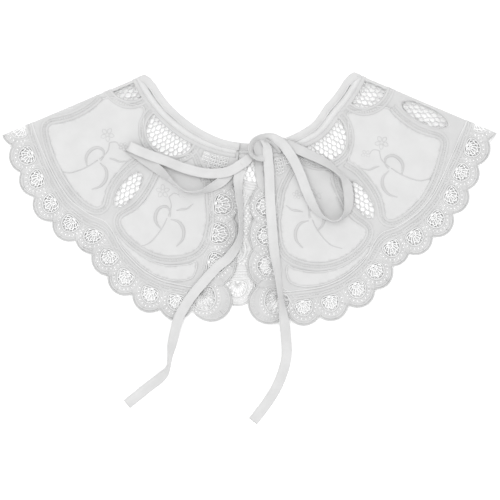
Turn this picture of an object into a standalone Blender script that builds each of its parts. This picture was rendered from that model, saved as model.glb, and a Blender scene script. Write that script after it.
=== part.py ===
# Lace collar with a ribbon tie, lying flat and folded along its two shoulder lines, so that the back
# lies under the two fronts. Metres, +Z up. The neckline opens towards +Y, the fronts hang towards -Y.
#
# The collar is drawn as a ring round the centre of its neckline. A "turn" is an angle in degrees round
# that ring from the front edge, and runs the same way on both halves: 0 at a front edge, about 65 at a
# shoulder fold, 131.5 at the middle of the back. Tables are in degrees and millimetres.
import math

import bmesh
import bpy
from mathutils import Vector

MM = 0.001

RING_CENTRE = Vector((2.0, 136.0))
FOLD_ANGLE = 67.0  # both shoulder folds, from straight down
FRONT_OPENING = {"left": 5.0, "right": 0.0}  # angle from the middle to each front edge
DRAWN_IN = 4.8  # the right half lies pulled in towards the neck by this much
# angle from straight down, how far out the scalloped border lies of its even shape, - being further in
BORDER_SHIFT = {
    "left": (
        (20, 0), (28, -2.0), (33, -0.8), (38, 3.2), (47, 3.2), (51, 1.2), (55, -0.8), (59, -2.6), (64, -3.6),
        (67, -4.4), (80, -4.7),
    ),
    "right": (
        (24, 0), (32, 2.0), (40, 1.2), (46, 0.3), (50, -1.0), (55, -2.4), (60, -1.0), (63, -2.4), (67, -6.4),
        (80, -7.2),
    ),
}

WALL = 1.4  # tape lace
INSET_WALL = 1.0  # cloth in the petals
SEAM = 0.3
FRONT_LOW = WALL + SEAM  # the fronts lie on the back
FRONT_MIDDLE = FRONT_LOW + WALL / 2
FOLD_RADIUS = 2.0  # of the cloth's middle, round each shoulder fold
FOLD_CENTRE_Z = FOLD_RADIUS + WALL / 2
FOLD_REACH = FOLD_RADIUS + WALL / 2
RISE_LENGTH = 26.0  # the fronts rise to the fold over this length
FRONT_WRAP = 0.955  # share of the half turn that belongs to the front
DRAWN_BEYOND = 6  # degrees past the fold that a front is drawn, before it is cut to its wrap

# how far past the line where a fold's curve starts, - being short of it
BACK_END = -0.1
FRONT_NET_END = 5.2
BACK_NET_END = -1.0
BACK_PETAL_END = -4.0

BINDING_WIDTH = 6.4
BINDING_WALL = 2.2
BINDING_START = 1.0  # degrees from a front edge
BINDING_TAPER = 16.0  # the binding thins to the tape's wall over this length before a fold

ALMONDS = (32.5, 63.5, 97.5)  # turns of a front's almond-shaped nets, and of the next one past its fold
ALMOND_LOWS = (145.5, 138.5)  # where a front's two start, nearest the neck
ALMOND_HIGH = 179.0
BACK_MIDDLE = 131.5  # turn of the middle of the back, where its last almond is
CRESCENT_LEAD = 0.6  # the neck nets sit this many degrees past the almonds
SCALLOP_ARC = 13.6
SCALLOP_OUT = 14.4  # from the edge line to the middle of a scallop's arc
BORDER_TAPE = 7.2

RIBBON_WIDTH = 8.0
RIBBON_WALL = 1.0
KNOT_WIDTH = 6.0  # the ribbon is squeezed where it is tied

# angle from straight down, radius
NECK_EDGE = (
    (0, 91.6), (15, 91.4), (30, 89.8), (40, 89.2), (60, 89.0), (64, 90.4), (67, 93.4), (80, 93.4),
)

# turn, radius of the line where the petals end and the scalloped border starts
FRONT_EDGE_LINE = (
    (0, 211), (10, 212.8), (15, 214.4), (19, 213.6), (22, 211.2), (25, 207.2), (27, 203.2), (30, 195.2),
    (32.5, 192.6),
)
# share of the way between two almonds, radius of that line
PETAL_EDGE_LINE = (
    (0, 192.6), (0.1, 195.6), (0.3, 197.8), (0.5, 197.4), (0.7, 196.4), (0.9, 193.6), (1, 192.2),
)

FRONT_SCALLOPS = (10.5, 16, 22, 27, 32.5, 38, 44, 50, 55.5, 61.5)
SCALLOP_STEP = 5.83  # about, behind these

# turn, radius, arc radius of the wide scallops down a front edge, and of the corner
EDGE_SCALLOPS = ((7.7, 142.4, 20.8), (6.2, 165.6, 20.8), (5.1, 189.6, 20.8), (3.55, 219.6, 16.8))

# turn, radius, heading out of the edge, scale of each fan of net in those scallops
EDGE_FANS = (
    (6.6, 142.4, -90, 1.0), (5.8, 165.6, -90, 1.0), (5.3, 189.6, -90, 1.0), (6.6, 211.5, -38, 1.45),
)

# turn, radius of the cloth in each shape
FRONT_PETAL = (
    (11.3, 132.8), (10, 141.6), (9, 148.8), (8.2, 156), (8.0, 164), (8.0, 172), (8.6, 180), (10, 185.2),
    (12, 189.6), (15, 194), (18, 196.4), (21, 196.8), (24, 195.6), (27, 192), (29.2, 187.8),
    (29.9, 184.4), (29.2, 180), (27.8, 171.2), (27.1, 160), (27.1, 148), (27.7, 137.6), (28.9, 130.6),
    (26.8, 123.2), (24.8, 119.2), (22.8, 114.8), (20.9, 111.6), (19.2, 113.5), (17.4, 118), (15.3, 122),
    (13.3, 126.6),
)
CRESCENT_INSET = (
    (8.6, 191.5), (10, 194.6), (12, 197.6), (14.5, 200.8), (17.5, 202.8), (20.5, 203), (23.5, 201.6),
    (26.2, 198.8), (28.0, 195.8), (28.5, 197.2), (27.6, 200.6), (26, 203.4), (23, 207.6), (20, 210.4),
    (16, 212), (12, 210.6), (9.6, 207.4), (8.3, 203), (8.1, 196),
)
# share of the way between two almonds, radius
SIDE_PETAL = (
    (0.113, 131.2), (0.155, 137.6), (0.174, 148), (0.174, 160), (0.152, 171.2), (0.11, 180), (0.08, 186),
    (0.132, 190.2), (0.242, 191.6), (0.403, 191.2), (0.565, 189.2), (0.694, 186.6), (0.79, 184),
    (0.874, 180.5), (0.852, 171), (0.826, 160), (0.826, 148), (0.848, 137.6), (0.877, 131),
    (0.823, 122.6), (0.742, 118.6), (0.661, 114.2), (0.597, 110), (0.54, 107), (0.484, 108),
    (0.43, 111.4), (0.371, 114.8), (0.306, 119.2), (0.242, 123.2), (0.177, 127.6),
)

# across, out: the three cells of a fan of net, from its hub
FAN_CELLS = (
    ((0, 2.2), (-3.0, 11.4), (0, 12.8), (3.0, 11.4)),
    ((-1.5, 0.8), (-6.2, 1.8), (-6.4, 7.0), (-4.2, 10.6)),
    ((1.5, 0.8), (6.2, 1.8), (6.4, 7.0), (4.2, 10.6)),
)
# from turn, to turn, low radius, high radius of the net cells at the top of a front edge
TOP_CELLS = ((5.4, 8.8, 105, 119.5), (9.6, 12.8, 105, 118), (13.6, 16.2, 105, 113))

# The ribbon's pieces: x and y of its middle, height of its lowest edge, heading of its width, and lift of
# its width from the level.
LEFT_LOOP = (
    (-0.6, 32.2, 5.2, 131, 0), (-5.6, 28.2, 5.3, 124, 0), (-17.2, 21.6, 5.3, 103, 0),
    (-33.2, 20.2, 5.3, 90, 0), (-50.8, 24.0, 5.5, 80, 0), (-67.6, 30.4, 6.1, 70, 0),
    (-84.0, 36.4, 7.3, 62, 0), (-94.8, 41.2, 7.5, 54, 0), (-96.7, 40.8, 5.7, 53, 0),
    (-94.8, 39.4, 4.1, 54, 0), (-85.8, 32.8, 3.6, 56, 4), (-76.2, 26.0, 3.6, 57, 14),
    (-68.2, 19.8, 3.6, 60, 42), (-60.4, 12.4, 3.6, 68, 74), (-50.6, 6.0, 3.6, 84, 88),
    (-40.4, 5.4, 3.6, 96, 80), (-31.2, 8.6, 3.6, 108, 46), (-23.4, 13.0, 3.6, 118, 12),
    (-17.0, 17.4, 3.6, 124, 0),
)
RIGHT_LOOP = (
    (19.8, 47.6, 6.4, 52, 0), (25.2, 44.4, 6.3, 44, 0), (30.4, 38.2, 6.1, 36, 0),
    (35.6, 30.0, 5.8, 28, 0), (40.6, 19.2, 5.4, 23, 4), (45.2, 7.2, 5.2, 24, 12),
    (50.2, -4.2, 4.6, 30, 32), (55.8, -12.4, 4.0, 44, 62), (62.4, -16.6, 3.6, 70, 86),
    (69.2, -17.6, 3.6, 96, 88), (75.4, -13.4, 3.6, 134, 66), (78.6, -6.6, 4.0, 158, 30),
    (79.0, 2.0, 4.6, 177, 8), (77.6, 10.4, 4.3, 194, 18), (74.2, 17.0, 3.7, 214, 56),
    (67.6, 23.8, 3.6, 226, 52), (58.8, 29.8, 3.6, 233, 32), (48.8, 34.8, 3.7, 239, 18),
    (38.4, 39.6, 4.2, 244, 4), (33.4, 41.8, 4.4, 246, 0),
)
LEFT_TAIL = (
    (-6.0, 23.6, 3.7, 200, 0), (-8.8, 17.0, 3.6, 196, 12), (-8.8, 6.0, 3.6, 186, 44),
    (-7.2, -8.2, 3.6, 180, 56), (-6.6, -22.0, 3.6, 176, 66), (-8.6, -34.2, 3.6, 154, 50),
    (-16.2, -46.4, 3.6, 138, 12), (-25.8, -54.4, 3.6, 134, 0), (-38.0, -67.8, 3.6, 132, 0),
    (-47.8, -80.0, 3.6, 140, 0), (-56.4, -94.8, 3.6, 150, 4), (-61.2, -113.0, 1.9, 164, 22),
    (-63.4, -125.4, 0.5, 170, 62), (-65.0, -134.4, 0.4, 150, 68), (-71.2, -142.6, 0.3, 128, 14),
    (-82.2, -151.2, 0.3, 124, 0), (-98.0, -164.0, 0.3, 125, 0),
)
RIGHT_TAIL = (
    (12.4, 42.4, 4.2, 196, 0), (13.2, 33.6, 4.0, 187, 0), (15.0, 16.8, 3.6, 184, 0),
    (16.4, 0.8, 3.6, 184, 0), (17.6, -17.6, 3.6, 185, 4), (19.6, -40.6, 3.6, 186, 14),
    (22.8, -62.8, 3.6, 186, 52), (25.2, -81.4, 3.6, 187, 56), (27.6, -97.2, 3.7, 185, 20),
    (29.2, -113.0, 2.2, 180, 4), (29.6, -124.8, 0.6, 174, 0), (27.0, -137.0, 0.3, 160, 0),
    (21.6, -150.4, 0.3, 148, 0), (13.6, -163.4, 0.3, 140, 0), (2.8, -177.6, 0.3, 136, 0),
)
KNOT = (
    (7.8, 35.0, 4.3, 256, 62), (3.8, 36.2, 4.3, 222, 62), (1.6, 39.8, 4.3, 188, 60),
    (2.0, 44.4, 4.3, 150, 58), (6.0, 48.0, 4.4, 112, 54), (12.0, 49.6, 4.6, 84, 46),
    (17.2, 48.7, 5.4, 62, 20),
)

# name: colour, roughness
FINISHES = {
    "tape_lace": ((0.74, 0.74, 0.74), 0.85),
    "inset_cloth": ((0.80, 0.80, 0.80), 0.8),
    "binding_cloth": ((0.77, 0.77, 0.77), 0.8),
    "tie_ribbon": ((0.70, 0.70, 0.70), 0.6),
}


def clear_scene():
    for obj in list(bpy.data.objects):
        bpy.data.objects.remove(obj)


def ease(share):
    share = min(1.0, max(0.0, share))
    return share * share * (3 - 2 * share)


def blend_rows(before, start, end, after, share):
    """A point on the smooth curve that runs from start to end through both."""
    return tuple(
        b
        + (c - a) / 2 * share
        + (a - 2.5 * b + 2 * c - d / 2) * share**2
        + (1.5 * (b - c) + (d - a) / 2) * share**3
        for a, b, c, d in zip(before, start, end, after)
    )


def smooth_rows(rows, steps):
    """The rows of a table with steps - 1 more between each two, on one smooth curve."""
    found = []
    for i in range(len(rows) - 1):
        four = [rows[min(max(i + k, 0), len(rows) - 1)] for k in (-1, 0, 1, 2)]
        found += [blend_rows(*four, step / steps) for step in range(steps)]
    return found + [rows[-1]]


def look_up(rows, where):
    """The second column of a table at a place in its first, on straight runs between rows."""
    for (low, low_value), (high, high_value) in zip(rows, rows[1:]):
        if where <= high:
            share = max(0.0, (where - low) / (high - low))
            return low_value + (high_value - low_value) * share
    return rows[-1][1]


def on_ring(angle, radius):
    """A place by its angle from straight down, + to the right, and its distance from the ring's centre."""
    start = 30 + 14 * min(1.0, max(0.0, (radius - 92) / 104))
    shift = look_up(BORDER_SHIFT["left" if angle < 0 else "right"], abs(angle))
    radius += shift * ease((radius - 186) / 16) - DRAWN_IN * ease((angle - start) / 16)
    angle = math.radians(angle)
    return RING_CENTRE + radius * Vector((math.sin(angle), -math.cos(angle)))


def front_place(side):
    sign = -1 if side == "left" else 1
    return lambda turn, radius: on_ring(sign * (turn + FRONT_OPENING[side]), radius)


def back_place(side):
    sign = -1 if side == "left" else 1
    return lambda turn, radius: on_ring(sign * (2 * FOLD_ANGLE - FRONT_OPENING[side] - turn), radius)


def fold_normal(side):
    """Level direction out of the collar, square to a shoulder fold."""
    sign = -1 if side == "left" else 1
    angle = math.radians(FOLD_ANGLE)
    return Vector((sign * math.cos(angle), math.sin(angle)))


def past_fold(side, point):
    """How far a point of the unfolded collar lies past the line where a fold's curve starts."""
    return (point - RING_CENTRE).dot(fold_normal(side)) + FOLD_REACH


def under_front(side, turn):
    """The turn on the back that lies right under a front's, so that light comes through both nets."""
    return 2 * (FOLD_ANGLE - FRONT_OPENING[side]) - turn


def edge_line(turn):
    if turn <= ALMONDS[0]:
        return look_up(FRONT_EDGE_LINE, turn)
    low, high = ALMONDS[:2] if turn <= ALMONDS[1] else ALMONDS[1:]
    return look_up(PETAL_EDGE_LINE, (turn - low) / (high - low))


def back_edge_line(side):
    """The back's edge line: the front's where it lies under a petal, then one petal's to its middle."""
    middle = under_front(side, ALMONDS[0])

    def line(turn):
        if turn <= middle:
            return edge_line(under_front(side, turn))
        return look_up(PETAL_EDGE_LINE, (turn - middle) / (BACK_MIDDLE - middle))

    return line


def front_scallops():
    return list(FRONT_SCALLOPS) + [FRONT_SCALLOPS[-1] + SCALLOP_STEP * k for k in (1, 2)]


def back_scallops(side):
    """Turns of the back's scallops: under the front's as far as its first almond, then even to the middle."""
    under = [under_front(side, turn) for turn in reversed(FRONT_SCALLOPS) if turn >= ALMONDS[0]]
    beyond = [under[0] - SCALLOP_STEP * k for k in (2, 1)]
    count = round((BACK_MIDDLE - under[-1]) / SCALLOP_STEP)
    step = (BACK_MIDDLE - under[-1]) / count
    return beyond + under + [under[-1] + step * (i + 1) for i in range(count)]


def scallop_circles(place, line, turns):
    return [(place(turn, line(turn) + SCALLOP_OUT), SCALLOP_ARC) for turn in turns]


def outer_crossing(first, second, inside):
    """Where two scallops' arcs meet, on the side away from a point inside the cloth."""
    (a, a_radius), (b, b_radius) = first, second
    apart = (b - a).length
    along = (apart**2 + a_radius**2 - b_radius**2) / (2 * apart)
    across = math.sqrt(max(0.0, a_radius**2 - along**2))
    way = (b - a) / apart
    middle = a + way * along
    options = [middle + Vector((-way.y, way.x)) * across * k for k in (-1, 1)]
    return max(options, key=lambda point: (point - inside).length)


def scalloped_edge(circles, inside, start, end, step=27.0):
    """Points along the outer side of a chain of arcs, from near one point to near another."""
    meets = [start] + [outer_crossing(a, b, inside) for a, b in zip(circles, circles[1:])] + [end]
    points = []
    for (centre, radius), first, last in zip(circles, meets, meets[1:]):
        out = math.atan2(*(centre - inside).yx)
        turns = [math.remainder(math.atan2(*(meet - centre).yx) - out, 2 * math.pi) for meet in (first, last)]
        count = max(2, round(math.degrees(abs(turns[1] - turns[0])) / step))
        for i in range(count + (last is end)):
            angle = out + turns[0] + (turns[1] - turns[0]) * i / count
            points.append(centre + radius * Vector((math.cos(angle), math.sin(angle))))
    return points


def fan(place, turn, radius, heading=0.0, scale=1.0):
    """The three cells of net in one scallop, opening out from a hub; heading 0 is away from the neck."""
    hub = place(turn, radius)
    out = (place(turn, radius + 1) - hub).normalized()
    across = (place(turn + 0.5, radius) - hub).normalized()
    angle = math.radians(heading)
    out, across = (
        out * math.cos(angle) + across * math.sin(angle),
        across * math.cos(angle) - out * math.sin(angle),
    )
    return [[hub + scale * (across * x + out * y) for x, y in cell] for cell in FAN_CELLS]


def almond_net(place, turn, low, high=ALMOND_HIGH, half_width=6.6, rows=5, bar=1.1):
    """Net cells in two columns inside an almond shape."""

    def width(radius):
        return half_width * math.sqrt(max(0.0, 1 - ((2 * radius - low - high) / (high - low)) ** 2))

    cells = []
    pitch = (high - low) / rows
    for row in range(rows):
        foot = low + row * pitch + bar / 2
        top = low + (row + 1) * pitch - bar / 2
        middle = (foot + top) / 2
        if row in (0, rows - 1):
            tip, base = (foot, top) if row == 0 else (top, foot)
            half = width(base)
            outline = [(-half, base), (-width(middle), middle), (0, tip), (width(middle), middle), (half, base)]
            cells.append([across(place, turn, radius, x) for x, radius in outline])
            continue
        for side in (-1, 1):
            outline = [(side * bar / 2, foot), (side * width(foot), foot), (side * width(middle), middle),
                       (side * width(top), top), (side * bar / 2, top)]
            cells.append([across(place, turn, radius, x) for x, radius in outline])
    return cells


def across(place, turn, radius, distance):
    """A place at some distance along the ring from a turn."""
    return place(turn + math.degrees(distance / radius), radius)


def neck_net(place, turn, low=104.0, deep=19.0, half_width=11.0, columns=7, bar=1.2):
    """Net cells of the crescent under the neck tape: a whole upper row, and a shorter lower one."""
    def depth(offset):
        return deep * math.sqrt(max(0.0, 1 - (offset / half_width) ** 2))

    cells = []
    pitch = 2 * half_width / columns
    half_bar = math.degrees(bar / 2 / low)
    split = 8.2
    for column in range(columns):
        left = -half_width + column * pitch + half_bar
        right = left + pitch - 2 * half_bar
        middle = (left + right) / 2
        foot = [(x, min(split, max(2.4, depth(x) - 0.6))) for x in (right, middle, left)]
        cells.append([place(turn + x, low + y) for x, y in [(left, 0), (right, 0)] + foot])
        if depth(left) > split + 3.5 and depth(right) > split + 3.5:
            foot = [(x, depth(x)) for x in (right, middle, left)]
            top = [(left, split + bar), (right, split + bar)]
            cells.append([place(turn + x, low + y) for x, y in top + foot])
    return cells


def top_net(place):
    return [
        [place(start, low), place(end, low), place(end, high - 1.5), place((start + end) / 2, high),
         place(start, high)]
        for start, end, low, high in TOP_CELLS
    ]


def petal_shape(place, first, second):
    """The cloth outline between two almonds."""
    return [place(first + share * (second - first), radius) for share, radius in SIDE_PETAL]


def held_back(outline, side, most):
    """An outline with what lies nearer a fold than that pushed back from it."""
    normal = fold_normal(side)
    return [point - normal * max(0.0, past_fold(side, point) - most) for point in outline]


def inset_from(outline, distance):
    """An outline moved in by a distance, for the seam between a shape and its window."""
    turned = sum(a.x * b.y - b.x * a.y for a, b in zip(outline, outline[1:] + outline[:1]))
    inward = 1 if turned > 0 else -1
    edges = [(b - a).normalized() for a, b in zip(outline, outline[1:] + outline[:1])]
    normals = [Vector((-edge.y, edge.x)) * inward for edge in edges]
    moved = []
    for i, point in enumerate(outline):
        middle = (normals[i - 1] + normals[i]).normalized()
        moved.append(point + middle * distance / max(0.3, middle.dot(normals[i])))
    return moved


def neck_arc(start, end, out, step=4.0):
    """Points along the neckline, moved out by a distance."""
    count = max(1, math.ceil(abs(end - start) / step))
    angles = [start + (end - start) * i / count for i in range(count + 1)]
    return [on_ring(angle, look_up(NECK_EDGE, abs(angle)) + out) for angle in angles]


def new_object(name, mesh, finish, collection):
    obj = bpy.data.objects.new(name, mesh)
    mesh.materials.clear()
    mesh.materials.append(finish)
    collection.objects.link(obj)
    return obj


def flat_solid(name, outline, holes, low, high):
    """A bmesh of a flat outline with its holes, as thick as from low to high."""
    curve = bpy.data.curves.new(name, "CURVE")
    curve.dimensions = "2D"
    curve.fill_mode = "BOTH"
    curve.extrude = (high - low) / 2 * MM
    for loop in [outline] + holes:
        spline = curve.splines.new("POLY")
        spline.points.add(len(loop) - 1)
        for point, place in zip(spline.points, loop):
            point.co = (place.x * MM, place.y * MM, 0, 1)
        spline.use_cyclic_u = True
    obj = bpy.data.objects.new(name + "_curve", curve)
    bpy.context.scene.collection.objects.link(obj)
    evaluated = obj.evaluated_get(bpy.context.evaluated_depsgraph_get())
    mesh = bpy.data.meshes.new_from_object(evaluated)
    bpy.data.objects.remove(obj)
    body = bmesh.new()
    body.from_mesh(mesh)
    bpy.data.meshes.remove(mesh)
    bmesh.ops.remove_doubles(body, verts=body.verts, dist=1e-6)
    bmesh.ops.translate(body, verts=body.verts, vec=(0, 0, (low + high) / 2 * MM))
    return body


def slice_body(body, side, distance, keep_inner_only=False):
    """Cuts a body's faces along a line at a distance past a fold's start, or ends the body there."""
    normal = fold_normal(side)
    foot = RING_CENTRE + normal * (distance - FOLD_REACH)
    found = bmesh.ops.bisect_plane(
        body,
        geom=body.verts[:] + body.edges[:] + body.faces[:],
        plane_co=(foot.x * MM, foot.y * MM, 0),
        plane_no=(normal.x, normal.y, 0),
        dist=1e-7,
        clear_outer=keep_inner_only,
    )
    if keep_inner_only:
        edges = [item for item in found["geom_cut"] if isinstance(item, bmesh.types.BMEdge)]
        bmesh.ops.edgenet_fill(body, edges=edges)


def fold_front(body, side):
    """Bends a front, drawn unfolded, up to its shoulder fold and half a turn round it."""
    end = FRONT_WRAP * math.pi * FOLD_RADIUS
    slice_body(body, side, end, keep_inner_only=True)
    for share in (1, 0.66, 0.33):
        slice_body(body, side, -share * RISE_LENGTH)
    for step in range(5):
        slice_body(body, side, end * step / 5)
    bmesh.ops.triangulate(body, faces=body.faces)
    normal = fold_normal(side)
    for vert in body.verts:
        flat = Vector((vert.co.x, vert.co.y)) / MM
        past = past_fold(side, flat)
        height = vert.co.z / MM - FRONT_MIDDLE
        spare = max(0.0, height - WALL / 2)
        height -= spare * ease(1 + past / BINDING_TAPER)
        if past <= 0:
            rise = (FOLD_CENTRE_Z + FOLD_RADIUS - FRONT_MIDDLE) * ease(1 + past / RISE_LENGTH)
            vert.co.z = (FRONT_MIDDLE + rise + height) * MM
            continue
        angle = past / FOLD_RADIUS
        flat += normal * ((FOLD_RADIUS + height) * math.sin(angle) - past)
        vert.co = (flat.x * MM, flat.y * MM, (FOLD_CENTRE_Z + (FOLD_RADIUS + height) * math.cos(angle)) * MM)


def finish_body(name, body, finish, collection):
    bmesh.ops.triangulate(body, faces=body.faces)
    bmesh.ops.recalc_face_normals(body, faces=body.faces)
    mesh = bpy.data.meshes.new(name)
    body.to_mesh(mesh)
    body.free()
    return new_object(name, mesh, finish, collection)


def clear_of_folds(cells, sides, most):
    """The cells that end at least that far before each fold."""
    return [cell for cell in cells if all(past_fold(side, point) < most for side in sides for point in cell)]


def front_outline(place, side):
    """The lace of one front, unfolded, with a little more than its fold takes."""
    sign = -1 if side == "left" else 1
    beyond = FOLD_ANGLE + DRAWN_BEYOND
    inner = neck_arc(sign * beyond, sign * (FRONT_OPENING[side] + BINDING_START), BINDING_WIDTH + SEAM)
    turns = [turn for turn in front_scallops() if turn + FRONT_OPENING[side] < beyond + 3]
    circles = [(place(turn, radius), arc) for turn, radius, arc in EDGE_SCALLOPS]
    circles += scallop_circles(place, edge_line, turns)
    end = on_ring(sign * (beyond + 2), 215)
    return inner + [place(1.2, 118)] + scalloped_edge(circles, place(20, 144), place(1.2, 124), end)


def front_cells(place, side):
    cells = top_net(place)
    for almond, low in zip(ALMONDS, ALMOND_LOWS):
        cells += almond_net(place, almond, low) + neck_net(place, almond + CRESCENT_LEAD)
    for turn in front_scallops():
        cells += fan(place, turn, edge_line(turn) + BORDER_TAPE)
    for turn, radius, heading, scale in EDGE_FANS:
        cells += fan(place, turn, radius, heading, scale)
    return clear_of_folds(cells, [side], FRONT_NET_END)


def make_front(side, finishes, collection):
    place = front_place(side)
    shapes = {
        "front_petal_" + side: [place(turn, radius) for turn, radius in FRONT_PETAL],
        "crescent_" + side: [place(turn, radius) for turn, radius in CRESCENT_INSET],
        "side_petal_" + side: petal_shape(place, *ALMONDS[:2]),
    }
    cells = front_cells(place, side)
    windows = cells + list(shapes.values())
    lace = flat_solid("lace_front", front_outline(place, side), windows, FRONT_LOW, FRONT_LOW + WALL)
    fold_front(lace, side)
    finish_body("lace_front_" + side, lace, finishes["tape_lace"], collection)
    for name, shape in shapes.items():
        cloth = flat_solid(name, inset_from(shape, SEAM), [], FRONT_LOW, FRONT_LOW + INSET_WALL)
        fold_front(cloth, side)
        finish_body(name, cloth, finishes["inset_cloth"], collection)
    return len(cells)


def make_back(finishes, collection):
    beyond = FOLD_ANGLE + 4
    chains, shapes = {}, {}
    cells = almond_net(back_place("left"), BACK_MIDDLE, ALMOND_LOWS[1])
    cells += neck_net(back_place("left"), BACK_MIDDLE)
    for side in ("left", "right"):
        place, line = back_place(side), back_edge_line(side)
        for almond, low in zip(ALMONDS, ALMOND_LOWS):
            turn = under_front(side, almond)
            cells += almond_net(place, turn, low) + neck_net(place, turn - CRESCENT_LEAD)
        middle, shoulder = (under_front(side, almond) for almond in ALMONDS[:2])
        near = petal_shape(place, middle, shoulder)
        shapes[f"back_petal_{side}_1"] = held_back(near, side, BACK_PETAL_END)
        shapes[f"back_petal_{side}_2"] = petal_shape(place, middle, BACK_MIDDLE - CRESCENT_LEAD)
        turns = [turn for turn in back_scallops(side) if 2 * FOLD_ANGLE - FRONT_OPENING[side] - turn < beyond + 4]
        chains[side] = scallop_circles(place, line, turns)
        for turn in turns[: None if side == "left" else -1]:
            cells += fan(place, turn, line(turn) + BORDER_TAPE)
    circles = chains["left"] + chains["right"][-2::-1]
    outer = scalloped_edge(circles, RING_CENTRE, on_ring(-beyond - 2, 212), on_ring(beyond + 2, 207))
    inner = neck_arc(beyond, -beyond, BINDING_WIDTH + SEAM)
    cells = clear_of_folds(cells, ["left", "right"], BACK_NET_END)
    lace = flat_solid("lace_back", inner + outer, cells + list(shapes.values()), 0, WALL)
    for side in ("left", "right"):
        slice_body(lace, side, BACK_END, keep_inner_only=True)
    finish_body("lace_back", lace, finishes["tape_lace"], collection)
    for name, shape in shapes.items():
        cloth = flat_solid(name, inset_from(shape, SEAM), [], 0, INSET_WALL)
        finish_body(name, cloth, finishes["inset_cloth"], collection)
    return len(cells)


def make_binding(finishes, collection):
    """The bias strip round the neckline, a length on each front and one on the back."""
    for side in ("left", "right"):
        sign = -1 if side == "left" else 1
        start = sign * (FRONT_OPENING[side] + BINDING_START)
        end = sign * (FOLD_ANGLE + DRAWN_BEYOND)
        outline = neck_arc(start, end, 0) + neck_arc(end, start, BINDING_WIDTH)
        strip = flat_solid("binding", outline, [], FRONT_LOW, FRONT_LOW + BINDING_WALL)
        fold_front(strip, side)
        finish_body("binding_front_" + side, strip, finishes["binding_cloth"], collection)
    end = FOLD_ANGLE + 4
    outline = neck_arc(-end, end, 0) + neck_arc(end, -end, BINDING_WIDTH)
    strip = flat_solid("binding", outline, [], 0, WALL)
    for side in ("left", "right"):
        slice_body(strip, side, BACK_END, keep_inner_only=True)
    finish_body("binding_back", strip, finishes["binding_cloth"], collection)


def ribbon(name, rows, width, finish, collection, steps=2):
    """A flat ribbon as an open strip through its rows, given its wall by Solidify."""
    body = bmesh.new()
    last = None
    for x, y, low, heading, lift in smooth_rows(rows, steps):
        heading, lift = math.radians(heading), math.radians(lift)
        z = low + (width * math.sin(lift) + RIBBON_WALL * math.cos(lift)) / 2
        half = Vector((math.cos(heading) * math.cos(lift), math.sin(heading) * math.cos(lift), math.sin(lift)))
        half *= width / 2
        pair = [body.verts.new((Vector((x, y, z)) + half * k) * MM) for k in (-1, 1)]
        if last:
            body.faces.new((last[0], last[1], pair[1], pair[0]))
        last = pair
    mesh = bpy.data.meshes.new(name)
    body.to_mesh(mesh)
    body.free()
    obj = new_object(name, mesh, finish, collection)
    wall = obj.modifiers.new("wall", "SOLIDIFY")
    wall.thickness = RIBBON_WALL * MM
    wall.offset = 0
    return obj


def make_finishes():
    made = {}
    for name, (colour, roughness) in FINISHES.items():
        finish = bpy.data.materials.new(name)
        finish.use_nodes = True
        shader = finish.node_tree.nodes["Principled BSDF"]
        shader.inputs["Base Color"].default_value = (*colour, 1)
        shader.inputs["Roughness"].default_value = roughness
        shader.inputs["Metallic"].default_value = 0
        made[name] = finish
    return made


def main():
    clear_scene()
    collection = bpy.data.collections.new("lace_collar")
    bpy.context.scene.collection.children.link(collection)
    finishes = make_finishes()
    holes = sum(make_front(side, finishes, collection) for side in ("left", "right"))
    holes += make_back(finishes, collection)
    make_binding(finishes, collection)
    for name, rows in (("loop_left", LEFT_LOOP), ("loop_right", RIGHT_LOOP), ("tail_left", LEFT_TAIL),
                       ("tail_right", RIGHT_TAIL)):
        ribbon(name, rows, RIBBON_WIDTH, finishes["tie_ribbon"], collection)
    ribbon("knot", KNOT, KNOT_WIDTH, finishes["tie_ribbon"], collection)
    print("net cells cut through:", holes)


main()
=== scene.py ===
import math

import bmesh
import bpy
import numpy as np
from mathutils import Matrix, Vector
from mathutils.geometry import delaunay_2d_cdt


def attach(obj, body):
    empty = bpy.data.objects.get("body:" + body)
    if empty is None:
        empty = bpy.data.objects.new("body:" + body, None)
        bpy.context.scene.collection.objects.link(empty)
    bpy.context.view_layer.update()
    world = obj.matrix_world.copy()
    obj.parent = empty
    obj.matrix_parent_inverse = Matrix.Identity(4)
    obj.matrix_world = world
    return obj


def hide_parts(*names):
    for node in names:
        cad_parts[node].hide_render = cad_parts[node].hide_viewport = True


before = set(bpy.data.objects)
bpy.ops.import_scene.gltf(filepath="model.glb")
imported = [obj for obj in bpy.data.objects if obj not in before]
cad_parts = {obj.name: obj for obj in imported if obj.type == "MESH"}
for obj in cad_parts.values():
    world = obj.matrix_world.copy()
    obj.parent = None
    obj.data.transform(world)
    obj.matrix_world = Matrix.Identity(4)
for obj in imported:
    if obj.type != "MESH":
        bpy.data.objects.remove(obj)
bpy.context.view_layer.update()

# Lengths are in millimetres until a piece is written, angles in degrees. The collar is drawn unfolded, as a
# ring round the centre of its neckline: a turn is the angle from a front edge, 131.5 being the back's middle.
mm = 0.001

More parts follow.
